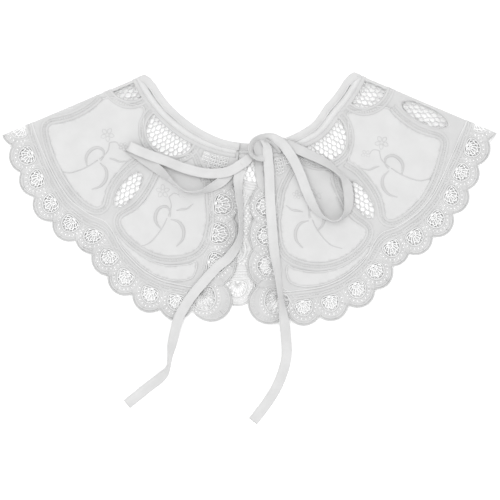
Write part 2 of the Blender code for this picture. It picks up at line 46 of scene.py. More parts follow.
collar = {
    "ringCentre": (2.0, 136.0),
    "foldAngle": 67.0,
    "frontOpening": {"left": 5.0, "right": 0.0},
    "drawnIn": 4.8,  # how far the right side lies in from its even shape
    "drawnFrom": ((92, 196), (30, 44)),  # radii, and the angle from which it does so there
    "drawnOver": 16,  # degrees
    "shiftFrom": 186.0,  # radius from which the border is shifted
    "shiftOver": 16.0,
    # angle from straight down, how far out the scalloped border lies of its even shape
    "borderShift": {
        "left": (
            (20, 0), (28, -2.0), (33, -0.8), (38, 3.2), (47, 3.2), (51, 1.2), (55, -0.8), (59, -2.6),
            (64, -3.6), (67, -4.4), (80, -4.7),
        ),
        "right": (
            (24, 0), (32, 2.0), (40, 1.2), (46, 0.3), (50, -1.0), (55, -2.4), (60, -1.0), (63, -2.4),
            (67, -6.4), (80, -7.2),
        ),
    },
    "wall": 1.4,
    "frontMiddle": 2.4,  # height of the fronts' middle over the table
    "backHeight": 0.7,  # of the back's middle
    "foldRadius": 2.0,
    "foldReach": 2.7,
    "riseLength": 26.0,
    "frontWrap": 0.955,
    "backEnd": -0.1,
    "drawnBeyond": 6,  # degrees past the fold that a front is drawn, before it is cut to its wrap
    "backBeyond": 4,  # and the back
    "bindingWidth": 6.4,
    "bindingStart": 1.0,
    "seam": 0.3,
    "almonds": (32.5, 63.5, 97.5),  # of a front, and the next one past its fold
    "almondLows": (145.5, 138.5),
    "almondHigh": 179.0,
    "almondHalf": 6.8,
    "backMiddle": 131.5,  # turn of the middle of the back
    "crescentLead": 0.6,
    "crescentHalf": 11.0,  # degrees
    "crescentDeep": 19.0,
    "crescentLow": 104.0,
    "borderTape": 7.2,
    "scallopArc": 13.6,
    "scallopOut": 14.4,
    "frontScallops": (10.5, 16, 22, 27, 32.5, 38, 44, 50, 55.5, 61.5),
    "scallopStep": 5.83,
}
# angle from straight down, radius
neckEdge = np.array((
    (0, 91.6), (15, 91.4), (30, 89.8), (40, 89.2), (60, 89.0), (64, 90.4), (67, 93.4), (80, 93.4),
))
# turn, radius of the line between the petals and the scalloped border
frontEdgeLine = np.array((
    (0, 211), (10, 212.8), (15, 214.4), (19, 213.6), (22, 211.2), (25, 207.2), (27, 203.2), (30, 195.2),
    (32.5, 192.6),
))
# share of the way between two almonds, radius of that line
petalEdgeLine = np.array((
    (0, 192.6), (0.1, 195.6), (0.3, 197.8), (0.5, 197.4), (0.7, 196.4), (0.9, 193.6), (1, 192.2),
))
# turn, radius, arc radius; then the fan of net in it: turn, radius, heading, scale
edgeScallops = (
    ((7.7, 142.4, 20.8), (7.4, 142.4, -90, 1.2)), ((6.2, 165.6, 20.8), (6.6, 165.6, -90, 1.2)),
    ((5.1, 189.6, 20.8), (6.0, 189.6, -90, 1.2)), ((3.55, 219.6, 16.8), (6.6, 211.5, -38, 1.45)),
)
# from turn, to turn, low radius, high radius of the net cells at the top of a front edge
topCells = ((5.4, 8.8, 105, 119.5), (9.6, 12.8, 105, 118), (13.6, 16.2, 105, 113))
# turn, radius
frontPetal = (
    (11.3, 132.8), (10, 141.6), (9, 148.8), (8.2, 156), (8.0, 164), (8.0, 172), (8.6, 180), (10, 185.2),
    (12, 189.6), (15, 194), (18, 196.4), (21, 196.8), (24, 195.6), (27, 192), (29.2, 187.8), (29.9, 184.4),
    (29.2, 180), (27.8, 171.2), (27.1, 160), (27.1, 148), (27.7, 137.6), (28.9, 130.6), (26.8, 123.2),
    (24.8, 119.2), (22.8, 114.8), (20.9, 111.6), (19.2, 113.5), (17.4, 118), (15.3, 122), (13.3, 126.6),
)
crescentInset = (
    (8.6, 191.5), (10, 194.6), (12, 197.6), (14.5, 200.8), (17.5, 202.8), (20.5, 203), (23.5, 201.6),
    (26.2, 198.8), (28.0, 195.8), (28.5, 197.2), (27.6, 200.6), (26, 203.4), (23, 207.6), (20, 210.4),
    (16, 212), (12, 210.6), (9.6, 207.4), (8.3, 203), (8.1, 196),
)
# share of the way between two almonds, radius
sidePetal = (
    (0.113, 131.2), (0.155, 137.6), (0.174, 148), (0.174, 160), (0.152, 171.2), (0.11, 180), (0.08, 186),
    (0.132, 190.2), (0.242, 191.6), (0.403, 191.2), (0.565, 189.2), (0.694, 186.6), (0.79, 184),
    (0.874, 180.5), (0.852, 171), (0.826, 160), (0.826, 148), (0.848, 137.6), (0.877, 131), (0.823, 122.6),
    (0.742, 118.6), (0.661, 114.2), (0.597, 110), (0.54, 107), (0.484, 108), (0.43, 111.4), (0.371, 114.8),
    (0.306, 119.2), (0.242, 123.2), (0.177, 127.6),
)


# camera, light and table

studio = {
    "middle": (0.4, -40.8),
    "width": 400.0,
    "lens": 120.0,
    "sensor": 36.0,
    "skyStrength": 1.2,
    "lampPower": 13.0,
    "lampSize": 1.4,
    "lampPlace": (-0.3, 0.45, 2.0),
    "tableColour": 0.97,
}


def aimAt(obj, target):
    obj.rotation_mode = "QUATERNION"
    obj.rotation_quaternion = (Vector(target) - obj.location).to_track_quat("-Z", "Y")


def makeStudio():
    scene = bpy.context.scene
    scene.view_settings.view_transform = "Standard"
    x, y = (value * mm for value in studio["middle"])
    camera = bpy.data.objects.new("camera", bpy.data.cameras.new("camera"))
    camera.data.lens, camera.data.sensor_width = studio["lens"], studio["sensor"]
    camera.location = (x, y, studio["width"] * mm * studio["lens"] / studio["sensor"])
    scene.collection.objects.link(camera)
    scene.camera = camera
    lamp = bpy.data.objects.new("softbox", bpy.data.lights.new("softbox", "AREA"))
    lamp.data.energy, lamp.data.size = studio["lampPower"], studio["lampSize"]
    lamp.location = studio["lampPlace"]
    aimAt(lamp, (x, y, 0))
    scene.collection.objects.link(lamp)
    sky = bpy.data.worlds.new("studio")
    scene.world = sky
    sky.use_nodes = True
    background = sky.node_tree.nodes["Background"]
    background.inputs["Color"].default_value = (1, 1, 1, 1)
    background.inputs["Strength"].default_value = studio["skyStrength"]
    print("studio ready")


# shader maths: a socket that can be added, scaled and so on


class Wire:
    def __init__(self, finish, socket):
        self.finish, self.socket = finish, socket

    def sum(self, operation, *values):
        return self.finish.node("ShaderNodeMath", {"operation": operation}, list(values))

    def __add__(self, other):
        return self.sum("ADD", self, other)

    def __radd__(self, other):
        return self.sum("ADD", other, self)

    def __sub__(self, other):
        return self.sum("SUBTRACT", self, other)

    def __rsub__(self, other):
        return self.sum("SUBTRACT", other, self)

    def __mul__(self, other):
        return self.sum("MULTIPLY", self, other)

    def __rmul__(self, other):
        return self.sum("MULTIPLY", other, self)

    def wave(self):
        return self.sum("SINE", self)

    def size(self):
        return self.sum("ABSOLUTE", self)


class Finish:
    def __init__(self, name):
        self.material = bpy.data.materials.new(name)
        self.material.use_nodes = True
        self.tree = self.material.node_tree
        self.shader = self.tree.nodes["Principled BSDF"]

    def node(self, kind, settings, sockets, output=0):
        made = self.tree.nodes.new(kind)
        for key, value in settings.items():
            setattr(made, key, value)
        pairs = sockets.items() if isinstance(sockets, dict) else enumerate(sockets)
        for key, value in pairs:
            self.join(made.inputs[key], value)
        return Wire(self, made.outputs[output])

    def join(self, socket, value):
        if isinstance(value, Wire):
            self.tree.links.new(value.socket, socket)
        else:
            socket.default_value = value

    def feed(self, name, value):
        self.join(self.shader.inputs[name], value)

    def threadPlace(self):
        place = self.node("ShaderNodeUVMap", {"uv_map": "thread"}, {})
        parts = self.node("ShaderNodeSeparateXYZ", {}, [place]).socket.node.outputs
        return Wire(self, parts[0]), Wire(self, parts[1])

    def noise(self, size, detail=2.0):
        place = self.node("ShaderNodeTexCoord", {}, {}, "Object")
        sockets = {"Vector": place, "Scale": 1 / (size * mm), "Detail": detail}
        return self.node("ShaderNodeTexNoise", {}, sockets, "Fac")

    def blend(self, share, first, second):
        # sockets 6 and 7 are the two colours, and output 2 their mix
        sockets = {"Factor": share, 6: (first, first, first, 1), 7: (second, second, second, 1)}
        return self.node("ShaderNodeMix", {"data_type": "RGBA"}, sockets, 2)


# light tone, dark tone, roughness, pitch of the threads along and across, depth of the weave, sheen
cloths = {
    "lawn": (0.58, 0.535, 0.85, 0.42, 0.42, 0.05, 0.15),
    "tape": (0.54, 0.485, 0.8, 0.55, 0.5, 0.08, 0.15),
    "thread": (0.64, 0.58, 0.7, 0.7, 9.0, 0.06, 0.2),
    # the embroidery's satin stitch, painted darker than the lawn as painted shade
    "satin": (0.49, 0.43, 0.5, 0.35, 9.0, 0.06, 0.3),
    "seam": (0.62, 0.57, 0.85, 0.8, 0.9, 0.1, 0.1),
    "binding": (0.57, 0.51, 0.8, 0.45, 0.45, 0.05, 0.15),
    "ribbon": (0.57, 0.50, 0.5, 0.4, 0.8, 0.05, 0.3),
    # the ribbon's other side: matte, and painted darker as painted shade where it turns under or tucks into
    # the knot
    "ribbonBackPaintedShade": (0.53, 0.47, 0.7, 0.4, 0.8, 0.05, 0.1),
    # the back's finishes, painted lighter than the fronts' as painted light against the shade the fronts cast
    # on it; the under ones, for the back where the fronts lie over it, lighter still
    "backLawn": (0.67, 0.63, 0.85, 0.42, 0.42, 0.05, 0.15),
    "backTape": (0.66, 0.60, 0.8, 0.55, 0.5, 0.08, 0.15),
    "backThreadPaintedLight": (0.74, 0.68, 0.7, 0.7, 9.0, 0.06, 0.2),
    "underTapePaintedLight": (0.90, 0.86, 0.8, 0.55, 0.5, 0.05, 0.1),
    "underThreadPaintedLight": (0.90, 0.86, 0.7, 0.7, 9.0, 0.05, 0.1),
    # picots, and the bright fan threads and beads: the same thread, painted much lighter than the other
    # threads as painted light
    "picot": (0.84, 0.78, 0.7, 0.7, 9.0, 0.03, 0.2),
}
cloudy = {
    # size of the mottles of painted shade, as of puckers, and of the flecks
    "shadeMottle": 12.0,
    "fleck": 1.6,
    "shadeMottleShare": 1.5,  # how much the painted shade mottles, the flecks and the threads change the tone
    "fleckShare": 0.3,
    "threadShare": 0.12,
    "bump": 0.6,
}


def clothFinish(name):
    light, dark, rough, alongPitch, acrossPitch, deep, sheen = cloths[name]
    finish = Finish(name)
    along, across = finish.threadPlace()
    weave = (along * (math.pi / alongPitch)).wave().size() * (across * (math.pi / acrossPitch)).wave().size()
    shadeMottles, flecks = finish.noise(cloudy["shadeMottle"]), finish.noise(cloudy["fleck"], 3.0)
    # the mottles paint shade, as of puckers; the flecks and the weave, which also drive the bump, paint
    # raised parts lighter and hollows darker as painted shade, the flecks' tone also varying at random
    share = (shadeMottles - 0.3) * cloudy["shadeMottleShare"] + (flecks - 0.5) * cloudy["fleckShare"]
    finish.feed("Base Color", finish.blend(share + weave * cloudy["threadShare"], dark, light))
    finish.feed("Roughness", rough)
    finish.feed("Sheen Weight", sheen)
    sockets = {"Strength": cloudy["bump"], "Distance": deep * mm, "Height": weave + flecks * 0.6}
    finish.feed("Normal", finish.node("ShaderNodeBump", {}, sockets))
    return finish.material


def tableFinish():
    finish = Finish("tableTop")
    grain = finish.noise(30.0)
    tone = studio["tableColour"]
    finish.feed("Base Color", finish.blend(grain, tone, tone - 0.01))
    finish.feed("Roughness", 0.9)
    return finish.material


def makeTable():
    shape = bmesh.new()
    bmesh.ops.create_grid(shape, x_segments=8, y_segments=8, size=1.6)
    mesh = bpy.data.meshes.new("tableTop")
    shape.to_mesh(mesh)
    shape.free()
    mesh.materials.append(tableFinish())
    table = bpy.data.objects.new("tableTop", mesh)
    bpy.context.scene.collection.objects.link(table)


# paths in the flat


def ease(share):
    share = np.clip(share, 0, 1)
    return share * share * (3 - 2 * share)


def unit(vectors):
    return vectors / np.maximum(np.linalg.norm(vectors, axis=-1, keepdims=True), 1e-9)


def onRing(angle, radius):
    angle, radius = np.broadcast_arrays(np.asarray(angle, float), np.asarray(radius, float))
    start = np.interp(radius, *collar["drawnFrom"])
    left, right = (np.interp(np.abs(angle), *np.array(line).T) for line in collar["borderShift"].values())
    shift = np.where(angle < 0, left, right) * ease((radius - collar["shiftFrom"]) / collar["shiftOver"])
    radius = radius + shift - collar["drawnIn"] * ease((angle - start) / collar["drawnOver"])
    angle = np.radians(angle)
    return np.stack((np.sin(angle), -np.cos(angle)), -1) * radius[..., None] + collar["ringCentre"]


def frontPlace(side):
    sign, opening = (-1 if side == "left" else 1), collar["frontOpening"][side]
    return lambda turn, radius: onRing(sign * (np.asarray(turn) + opening), radius)


def backPlace(side):
    sign, opening = (-1 if side == "left" else 1), collar["frontOpening"][side]
    return lambda turn, radius: onRing(sign * (2 * collar["foldAngle"] - opening - np.asarray(turn)), radius)


def foldNormal(side):
    angle = math.radians(collar["foldAngle"])
    return np.array(((-1 if side == "left" else 1) * math.cos(angle), math.sin(angle)))


def pastFold(side, points):
    return (points[..., :2] - collar["ringCentre"]) @ foldNormal(side) + collar["foldReach"]


def edgeLine(turn):
    turn = np.asarray(turn, float)
    almonds = collar["almonds"]
    found = np.interp(turn, frontEdgeLine[:, 0], frontEdgeLine[:, 1])
    for low, high in zip(almonds, almonds[1:]):
        between = np.interp((turn - low) / (high - low), petalEdgeLine[:, 0], petalEdgeLine[:, 1])
        found = np.where(turn > low, between, found)
    return found


def underFront(side, turn):
    # the turn on the back that lies right under a front's
    return 2 * (collar["foldAngle"] - collar["frontOpening"][side]) - np.asarray(turn, float)


def backEdgeLine(side):
    middle = float(underFront(side, collar["almonds"][0]))
    rest = collar["backMiddle"] - middle

    def line(turn):
        turn = np.asarray(turn, float)
        beyond = np.interp((turn - middle) / rest, petalEdgeLine[:, 0], petalEdgeLine[:, 1])
        return np.where(turn <= middle, edgeLine(underFront(side, turn)), beyond)

    return line


def frontScallops():
    turns = collar["frontScallops"]
    return list(turns) + [turns[-1] + collar["scallopStep"] * k for k in (1, 2)]


def backScallops(side):
    front = [turn for turn in reversed(collar["frontScallops"]) if turn >= collar["almonds"][0]]
    under = [float(underFront(side, turn)) for turn in front]
    beyond = [under[0] - collar["scallopStep"] * k for k in (2, 1)]
    count = round((collar["backMiddle"] - under[-1]) / collar["scallopStep"])
    step = (collar["backMiddle"] - under[-1]) / count
    return beyond + under + [under[-1] + step * (i + 1) for i in range(count)]


def neckArc(start, end, out, step=1.0):
    angles = np.linspace(start, end, max(2, int(abs(end - start) / step)))
    return onRing(angles, np.interp(np.abs(angles), neckEdge[:, 0], neckEdge[:, 1]) + out)


def evenly(points, step, closed=False):
    # the same line in steps of about that length
    points = np.asarray(points, float)
    if closed:
        points = np.concatenate((points, points[:1]))
    along = np.concatenate(([0], np.cumsum(np.linalg.norm(np.diff(points, axis=0), axis=1))))
    count = max(3, int(round(along[-1] / step)))
    spots = np.linspace(0, along[-1], count + 1)[: count if closed else None]
    return np.stack([np.interp(spots, along, column) for column in points.T], 1)


def curveThrough(points, step, closed=False):
    points = np.asarray(points, float)
    count = len(points)
    index = np.arange(count if closed else count - 1)
    pick = (lambda i: points[i % count]) if closed else (lambda i: points[np.clip(i, 0, count - 1)])
    a, b, c, d = (pick(index + k)[:, None] for k in (-1, 0, 1, 2))
    s = (np.arange(10) / 10)[None, :, None]
    curve = b + (c - a) / 2 * s + (a - 2.5 * b + 2 * c - d / 2) * s**2 + (1.5 * (b - c) + (d - a) / 2) * s**3
    curve = curve.reshape(-1, points.shape[1])
    return evenly(curve if closed else np.concatenate((curve, points[-1:])), step, closed)


def leftOf(path, closed=False):
    ahead = np.roll(path, -1, 0) - np.roll(path, 1, 0) if closed else np.gradient(path, axis=0)
    return unit(np.stack((-ahead[:, 1], ahead[:, 0]), 1))


def beside(path, distance, closed=False):
    # the path moved to its left
    return path + leftOf(path, closed) * distance


def turnedLeft(outline):
    after = np.roll(outline, -1, 0)
    return float((outline[:, 0] * after[:, 1] - after[:, 0] * outline[:, 1]).sum()) > 0


def relax(path, times):
    for _ in range(times):
        path[1:-1] = (path[:-2] + 2 * path[1:-1] + path[2:]) / 4
    return path


def inside(points, outline):
    found = np.zeros(len(points), bool)
    for (x0, y0), (x1, y1) in zip(outline, np.roll(outline, -1, 0)):
        if y0 == y1:
            continue
        crosses = (points[:, 1] > y0) != (points[:, 1] > y1)
        found ^= crosses & (points[:, 0] < (x1 - x0) * (points[:, 1] - y0) / (y1 - y0) + x0)
    return found


# collecting the parts of one piece, in flat millimetres with the height over the cloth's middle


def roundProfile(radius, sides=6):
    angles = np.arange(sides) / sides * 2 * math.pi - math.pi / 2
    return np.stack((np.cos(angles), np.sin(angles)), 1) * radius


def bandProfile(width, low, top):
    half, middle, lip = width / 2, (low + top) / 2, 0.25
    return np.array((
        (0, low), (half - 0.1, low), (half, middle), (half - lip, top), (0, top + 0.08), (-half + lip, top),
        (-half, middle), (-half + 0.1, low),
    ))


def fillBetween(outline, holes, spacing):
    # triangles between an outline and its holes, with points inside about that far apart
    loops = [np.asarray(loop, float) for loop in [outline] + list(holes)]
    low, high = loops[0].min(0), loops[0].max(0)
    columns, rows = np.arange(low[0], high[0], spacing), np.arange(low[1], high[1], spacing * 0.87)
    grid = np.stack(np.meshgrid(columns, rows), -1)
    grid[1::2, :, 0] += spacing / 2
    grid = grid.reshape(-1, 2)
    rim = np.concatenate(loops)
    clear = [np.linalg.norm(part[:, None] - rim[None], axis=2).min(1) for part in np.array_split(grid, 40)]
    grid = grid[np.concatenate(clear) > spacing * 0.5]
    edges, first = [], 0
    for loop in loops:
        edges += [(first + i, first + (i + 1) % len(loop)) for i in range(len(loop))]
        first += len(loop)
    found = delaunay_2d_cdt([Vector(point) for point in np.concatenate((rim, grid))], edges, [], 0, 1e-5)
    points, triangles = np.array([tuple(point) for point in found[0]]), np.array(found[2])
    middles = points[triangles].mean(1)
    keep = inside(middles, loops[0])
    for hole in loops[1:]:
        near = keep & (np.abs(middles - hole.mean(0)).max(1) < np.ptp(hole, axis=0).max())
        keep[near] &= ~inside(middles[near], hole)
    used, triangles = np.unique(triangles[keep], return_inverse=True)
    return points[used], triangles.reshape(-1, 3)


def foldRows(shape, normal, most, step=0.6):
    # rows of points along the fold, so that the cloth can bend there
    def past(vert):
        return (vert.co.x / mm - collar["ringCentre"][0]) * normal[0] + (
            vert.co.y / mm - collar["ringCentre"][1]) * normal[1] + collar["foldReach"]

    faces = [face for face in shape.faces if any(past(vert) > -0.5 for vert in face.verts)]
    for row in np.arange(0, most, step):
        foot = np.array(collar["ringCentre"]) + normal * (row - collar["foldReach"])
        geometry = faces + list({edge for face in faces for edge in face.edges}) + list(
            {vert for face in faces for vert in face.verts})
        found = bmesh.ops.bisect_plane(
            shape, geom=geometry, plane_co=(*foot * mm, 0), plane_no=(*normal, 0), dist=1e-8)
        faces = [item for item in found["geom"] if isinstance(item, bmesh.types.BMFace)]


class Loom:
    def __init__(self):
        self.points, self.thread, self.faces, self.slots = [], [], [], []
        self.sharp, self.count = set(), 0

    def add(self, points, thread, faces, slot=0):
        self.points.append(points)
        self.thread.append(thread)
        self.faces += (np.asarray(faces) + self.count).tolist()
        self.slots += [slot] * len(faces)
        self.count += len(points)

    def tube(self, points, thread, slot=0, closed=False, capped=True):
        # a skin over rows of points, each row round the tube
        rows, sides = points.shape[:2]
        i, j = np.meshgrid(np.arange(rows if closed else rows - 1), np.arange(sides), indexing="ij")
        k, l = (i + 1) % rows, (j + 1) % sides
        faces = np.stack((i * sides + j, k * sides + j, k * sides + l, i * sides + l), -1)
        self.add(points.reshape(-1, 3), thread.reshape(-1, 2), faces.reshape(-1, 4), slot)
        if capped and not closed:
            first, last = self.count - rows * sides, self.count - sides
            self.faces += [[first + n for n in range(sides)], [last + n for n in reversed(range(sides))]]
            self.slots += [slot, slot]

    def sweep(self, path, profile, closed=False, scale=1.0, slot=0, height=0.0):
        shape = profile[None] * np.broadcast_to(scale, len(path))[:, None, None]
        flat = path[:, None] + leftOf(path, closed)[:, None] * shape[..., :1]
        along = np.concatenate(([0], np.cumsum(np.linalg.norm(np.diff(path, axis=0), axis=1))))
        thread = np.stack(np.broadcast_arrays(along[:, None], profile[None, :, 0]), -1)
        self.tube(np.concatenate((flat, height + shape[..., 1:]), -1), thread, slot, closed)

    def bars(self, starts, ends, radius, sides=6, slot=0, height=0.0):
        for pair in zip(starts, ends):
            self.sweep(np.array(pair), roundProfile(radius, sides), slot=slot, height=height)

    def beads(self, places, radius, slot=0, height=0.0):
        # little domes
        angle = np.arange(6) / 6 * 2 * math.pi
        ring = np.stack((np.cos(angle), np.sin(angle), np.zeros(6)), 1) * radius
        dome = np.stack([ring * wide + (0, 0, up) for wide, up in ((1, -0.2), (1, 0.1), (0.6, 0.4))])
        for place in places:
            points = dome + (*place, height)
            self.tube(points, points[..., :2], slot)

    def cloth(self, outline, holes, low, top, spacing, relief):
        # a thin closed sheet between flat loops
        points, triangles = fillBetween(outline, holes, spacing)
        count = len(points)
        heights = top + relief(points), np.full(count, low)
        both = np.concatenate([np.column_stack((points, height)) for height in heights])
        edges = np.concatenate([triangles[:, [k, (k + 1) % 3]] for k in range(3)])
        keys = edges[:, 0] * count + edges[:, 1]
        a, b = edges[~np.isin(keys, edges[:, 1] * count + edges[:, 0])].T
        self.add(both, both[:, :2].copy(), np.concatenate((triangles, triangles[:, ::-1] + count)))
        walls = np.stack((b, a, a + count, b + count), -1) + self.count - 2 * count
        self.sharp.update(range(len(self.faces), len(self.faces) + len(walls)))
        self.faces += walls.tolist()
        self.slots += [0] * len(walls)

    def write(self, name, finishes, cuts, bend):
        # cuts: side and how far past its fold the cloth is kept; bend puts flat points on the table
        mesh = bpy.data.meshes.new(name)
        points = np.concatenate(self.points)
        mesh.from_pydata(points * mm, [], self.faces)
        thread = np.concatenate(self.thread)
        corners = np.empty(len(mesh.loops), np.int32)
        mesh.loops.foreach_get("vertex_index", corners)
        layer = mesh.uv_layers.new(name="thread")
        layer.data.foreach_set("uv", thread[corners].ravel())
        mesh.polygons.foreach_set("material_index", self.slots)
        smooth = [len(face) < 5 and number not in self.sharp for number, face in enumerate(self.faces)]
        mesh.polygons.foreach_set("use_smooth", smooth)
        for finish in finishes:
            mesh.materials.append(finish)
        shape = bmesh.new()
        shape.from_mesh(mesh)
        for side, most in cuts:
            normal = foldNormal(side)
            foot = np.array(collar["ringCentre"]) + normal * (most - collar["foldReach"])
            found = bmesh.ops.bisect_plane(
                shape, geom=shape.verts[:] + shape.edges[:] + shape.faces[:], plane_co=(*foot * mm, 0),
                plane_no=(*normal, 0), dist=1e-8, clear_outer=True)
            rim = [item for item in found["geom_cut"] if isinstance(item, bmesh.types.BMEdge)]
            for face in bmesh.ops.edgenet_fill(shape, edges=rim)["faces"]:
                face.smooth = False
            if most > 0:
                foldRows(shape, normal, most)
        obj = bpy.data.objects.new(name, mesh)
        obj["flatArea"] = sum(face.calc_area() for face in shape.faces) / 2
        flat = np.array([vert.co for vert in shape.verts]) / mm
        for vert, place in zip(shape.verts, bend(flat) * mm):
            vert.co = place
        bmesh.ops.recalc_face_normals(shape, faces=shape.faces)
        shape.to_mesh(mesh)
        shape.free()
        bpy.context.scene.collection.objects.link(obj)
        print(name, sum(len(face.vertices) - 2 for face in mesh.polygons), "triangles")
        return obj


def frontBend(side):
    normal = foldNormal(side)
    radius, wall = collar["foldRadius"], collar["wall"]
    top = radius * 2 + wall / 2  # height of the cloth's middle at the fold

    def bend(points):
        past = pastFold(side, points)
        height = points[:, 2]
        height = height - np.maximum(0, height - wall / 2) * ease(1 + past / 16)
        rise = (top - collar["frontMiddle"]) * ease(1 + past / collar["riseLength"])
        angle = np.maximum(past, 0) / radius
        moved = points.copy()
        shift = np.where(past > 0, (radius + height) * np.sin(angle) - past, 0)
        moved[:, :2] += normal * shift[:, None]
        over = radius + wall / 2 + (radius + height) * np.cos(angle)
        moved[:, 2] = np.where(past > 0, over, collar["frontMiddle"] + rise + height)
        return moved

    return bend


def backBend(points):
    moved = points.copy()
    moved[:, 2] += collar["backHeight"]
    return moved


def frontShape(side):
    # where a front is cut, past its fold, and how it is bent there
    return [(side, collar["frontWrap"] * math.pi * collar["foldRadius"])], frontBend(side)


finishes = {name: clothFinish(name) for name in cloths}

makeStudio()
makeTable()


# the tie ribbon: x, y of its middle, height of its lowest edge, heading and lift of its width

ribbon = {
    "width": 8.0,
    "thick": 1.0,  # with its cup
    "wall": 0.55,
    "cup": 0.35,
    # share of a length along which its other side shows, in a finish painted darker as painted shade
    "turned": {"loopLeft": (0.5, 0.72), "loopRight": (0.52, 1.0)},
    "loopLeft": (
        (-0.6, 32.2, 5.2, 131, 0), (-5.6, 28.2, 5.3, 124, 0), (-17.2, 21.6, 5.3, 103, 0),
        (-33.2, 20.2, 5.3, 90, 0), (-50.8, 24.0, 5.5, 80, 0), (-67.6, 30.4, 6.1, 70, 0),
        (-84.0, 36.4, 7.3, 62, 0), (-94.8, 41.2, 7.5, 54, 0), (-96.7, 40.8, 5.7, 53, 0),
        (-94.8, 39.4, 4.1, 54, 0), (-85.8, 32.8, 3.6, 56, 4), (-76.2, 26.0, 3.6, 57, 14),
        (-68.2, 19.8, 3.6, 60, 42), (-60.4, 12.4, 3.6, 68, 74), (-50.6, 6.0, 3.6, 84, 88),
        (-40.4, 5.4, 3.6, 96, 80), (-31.2, 8.6, 3.6, 108, 46), (-23.4, 13.0, 3.6, 120, 12),
        (-19.2, 16.6, 3.6, 138, 0), (-16.4, 20.4, 3.6, 156, 0),
    ),
    "loopRight": (
        (19.8, 47.6, 6.4, 52, 0), (25.2, 44.4, 6.3, 44, 0), (30.4, 38.2, 6.1, 36, 0),
        (35.6, 30.0, 5.8, 28, 0), (40.6, 19.2, 5.4, 23, 4), (45.2, 7.2, 5.2, 24, 12),
        (50.2, -4.2, 4.6, 30, 32), (55.8, -12.4, 4.0, 44, 62), (62.4, -16.6, 3.6, 70, 86),
        (69.2, -17.6, 3.6, 96, 88), (75.4, -13.4, 3.6, 134, 66), (78.6, -6.6, 4.0, 158, 30),
        (79.0, 2.0, 4.6, 177, 8), (77.6, 10.4, 4.3, 194, 18), (74.2, 17.0, 3.7, 214, 56),
        (67.6, 23.8, 3.6, 226, 52), (58.8, 29.8, 3.6, 233, 32), (48.8, 34.8, 3.7, 239, 18),
        (38.4, 39.6, 4.2, 244, 4), (33.4, 41.8, 4.4, 246, 0),
    ),
    "tailLeft": (
        (-6.0, 23.6, 3.7, 200, 0), (-8.8, 17.0, 3.6, 196, 12), (-8.8, 6.0, 3.6, 186, 44),
        (-7.2, -8.2, 3.6, 180, 56), (-6.6, -22.0, 3.6, 176, 66), (-8.6, -34.2, 3.6, 154, 50),
        (-16.2, -46.4, 3.6, 138, 12), (-25.8, -54.4, 3.6, 134, 0), (-38.0, -67.8, 3.6, 132, 0),
        (-47.8, -80.0, 3.6, 140, 0), (-56.4, -94.8, 3.6, 150, 4), (-61.2, -113.0, 1.9, 164, 22),
        (-63.4, -125.4, 0.5, 170, 62), (-65.0, -134.4, 0.4, 150, 68), (-71.2, -142.6, 0.3, 128, 14),
        (-82.2, -151.2, 0.3, 124, 0), (-98.0, -164.0, 0.3, 125, 0),
    ),
    "tailRight": (
        (13.8, 42.0, 4.2, 196, 0), (14.7, 33.0, 4.0, 187, 0), (15.9, 16.8, 3.6, 184, 0),
        (16.4, 0.8, 3.6, 184, 0), (17.6, -17.6, 3.6, 185, 4), (19.6, -40.6, 3.6, 186, 14),
        (22.8, -62.8, 3.6, 186, 52), (25.2, -81.4, 3.6, 187, 56), (27.6, -97.2, 3.7, 185, 20),
        (29.2, -113.0, 2.2, 180, 4), (29.6, -124.8, 0.6, 174, 0), (27.0, -137.0, 0.3, 160, 0),
        (21.6, -150.4, 0.3, 148, 0), (13.6, -163.4, 0.3, 140, 0), (2.8, -177.6, 0.3, 136, 0),
    ),
    # the turns of the knot: round the curl into the right loop, into the left loop and over the right tail's
    # top; then, with the other side up and painted darker as painted shade, inside the curl, under the right
    # loop and behind the curl
    "rightSideUp": 3,  # of them
    "knot": (
        ((12.2, 33.0, 3.2, 276, 6, 4.6), (8.8, 32.2, 3.6, 262, 36, 6.0), (4.6, 32.8, 4.1, 238, 60, 6.4),
         (1.3, 36.2, 4.3, 206, 61, 6.4), (0.8, 40.8, 4.3, 176, 59, 6.4), (2.8, 45.4, 4.3, 140, 57, 6.4),
         (6.8, 48.2, 4.4, 110, 54, 6.6), (12.0, 49.2, 4.6, 86, 44, 7.0), (17.0, 48.6, 5.6, 66, 20, 7.8),
         (21.0, 46.9, 6.75, 52, 3, 8.1), (25.2, 44.3, 6.35, 44, 0, 7.7), (28.4, 40.9, 5.5, 39, 0, 6.8)),
        ((1.6, 34.0, 4.6, 134, 0, 4.6), (-0.4, 32.4, 5.6, 131, 0, 7.2), (-3.4, 29.9, 5.35, 127, 0, 7.8),
         (-6.6, 27.5, 4.7, 123, 0, 7.0)),
        ((8.6, 47.6, 3.6, 234, 24, 2.6), (11.0, 45.4, 4.6, 226, 18, 4.0), (13.4, 42.2, 4.95, 210, 6, 6.2),
         (14.2, 38.4, 4.5, 199, 0, 7.9), (14.8, 32.0, 3.9, 188, 0, 7.9), (15.2, 26.0, 3.1, 184, 0, 7.2)),
        ((12.6, 46.4, 4.0, 58, 62, 5.0), (17.0, 44.6, 3.9, 46, 66, 5.0), (21.0, 41.2, 3.9, 36, 66, 5.0),
         (24.2, 36.4, 3.9, 26, 66, 5.0)),
        ((38.0, 39.8, 3.7, 244, 3, 7.0), (33.4, 41.8, 4.62, 246, 0, 8.0), (28.2, 44.1, 4.6, 247, 0, 7.8),
         (22.4, 46.4, 4.5, 248, 0, 7.0)),
        ((7.0, 48.0, 3.9, 184, 0, 7.0), (7.6, 44.4, 3.9, 182, 0, 9.6), (8.4, 39.0, 3.8, 180, 0, 10.0),
         (8.8, 34.4, 3.2, 178, 0, 7.6)),
    ),
}


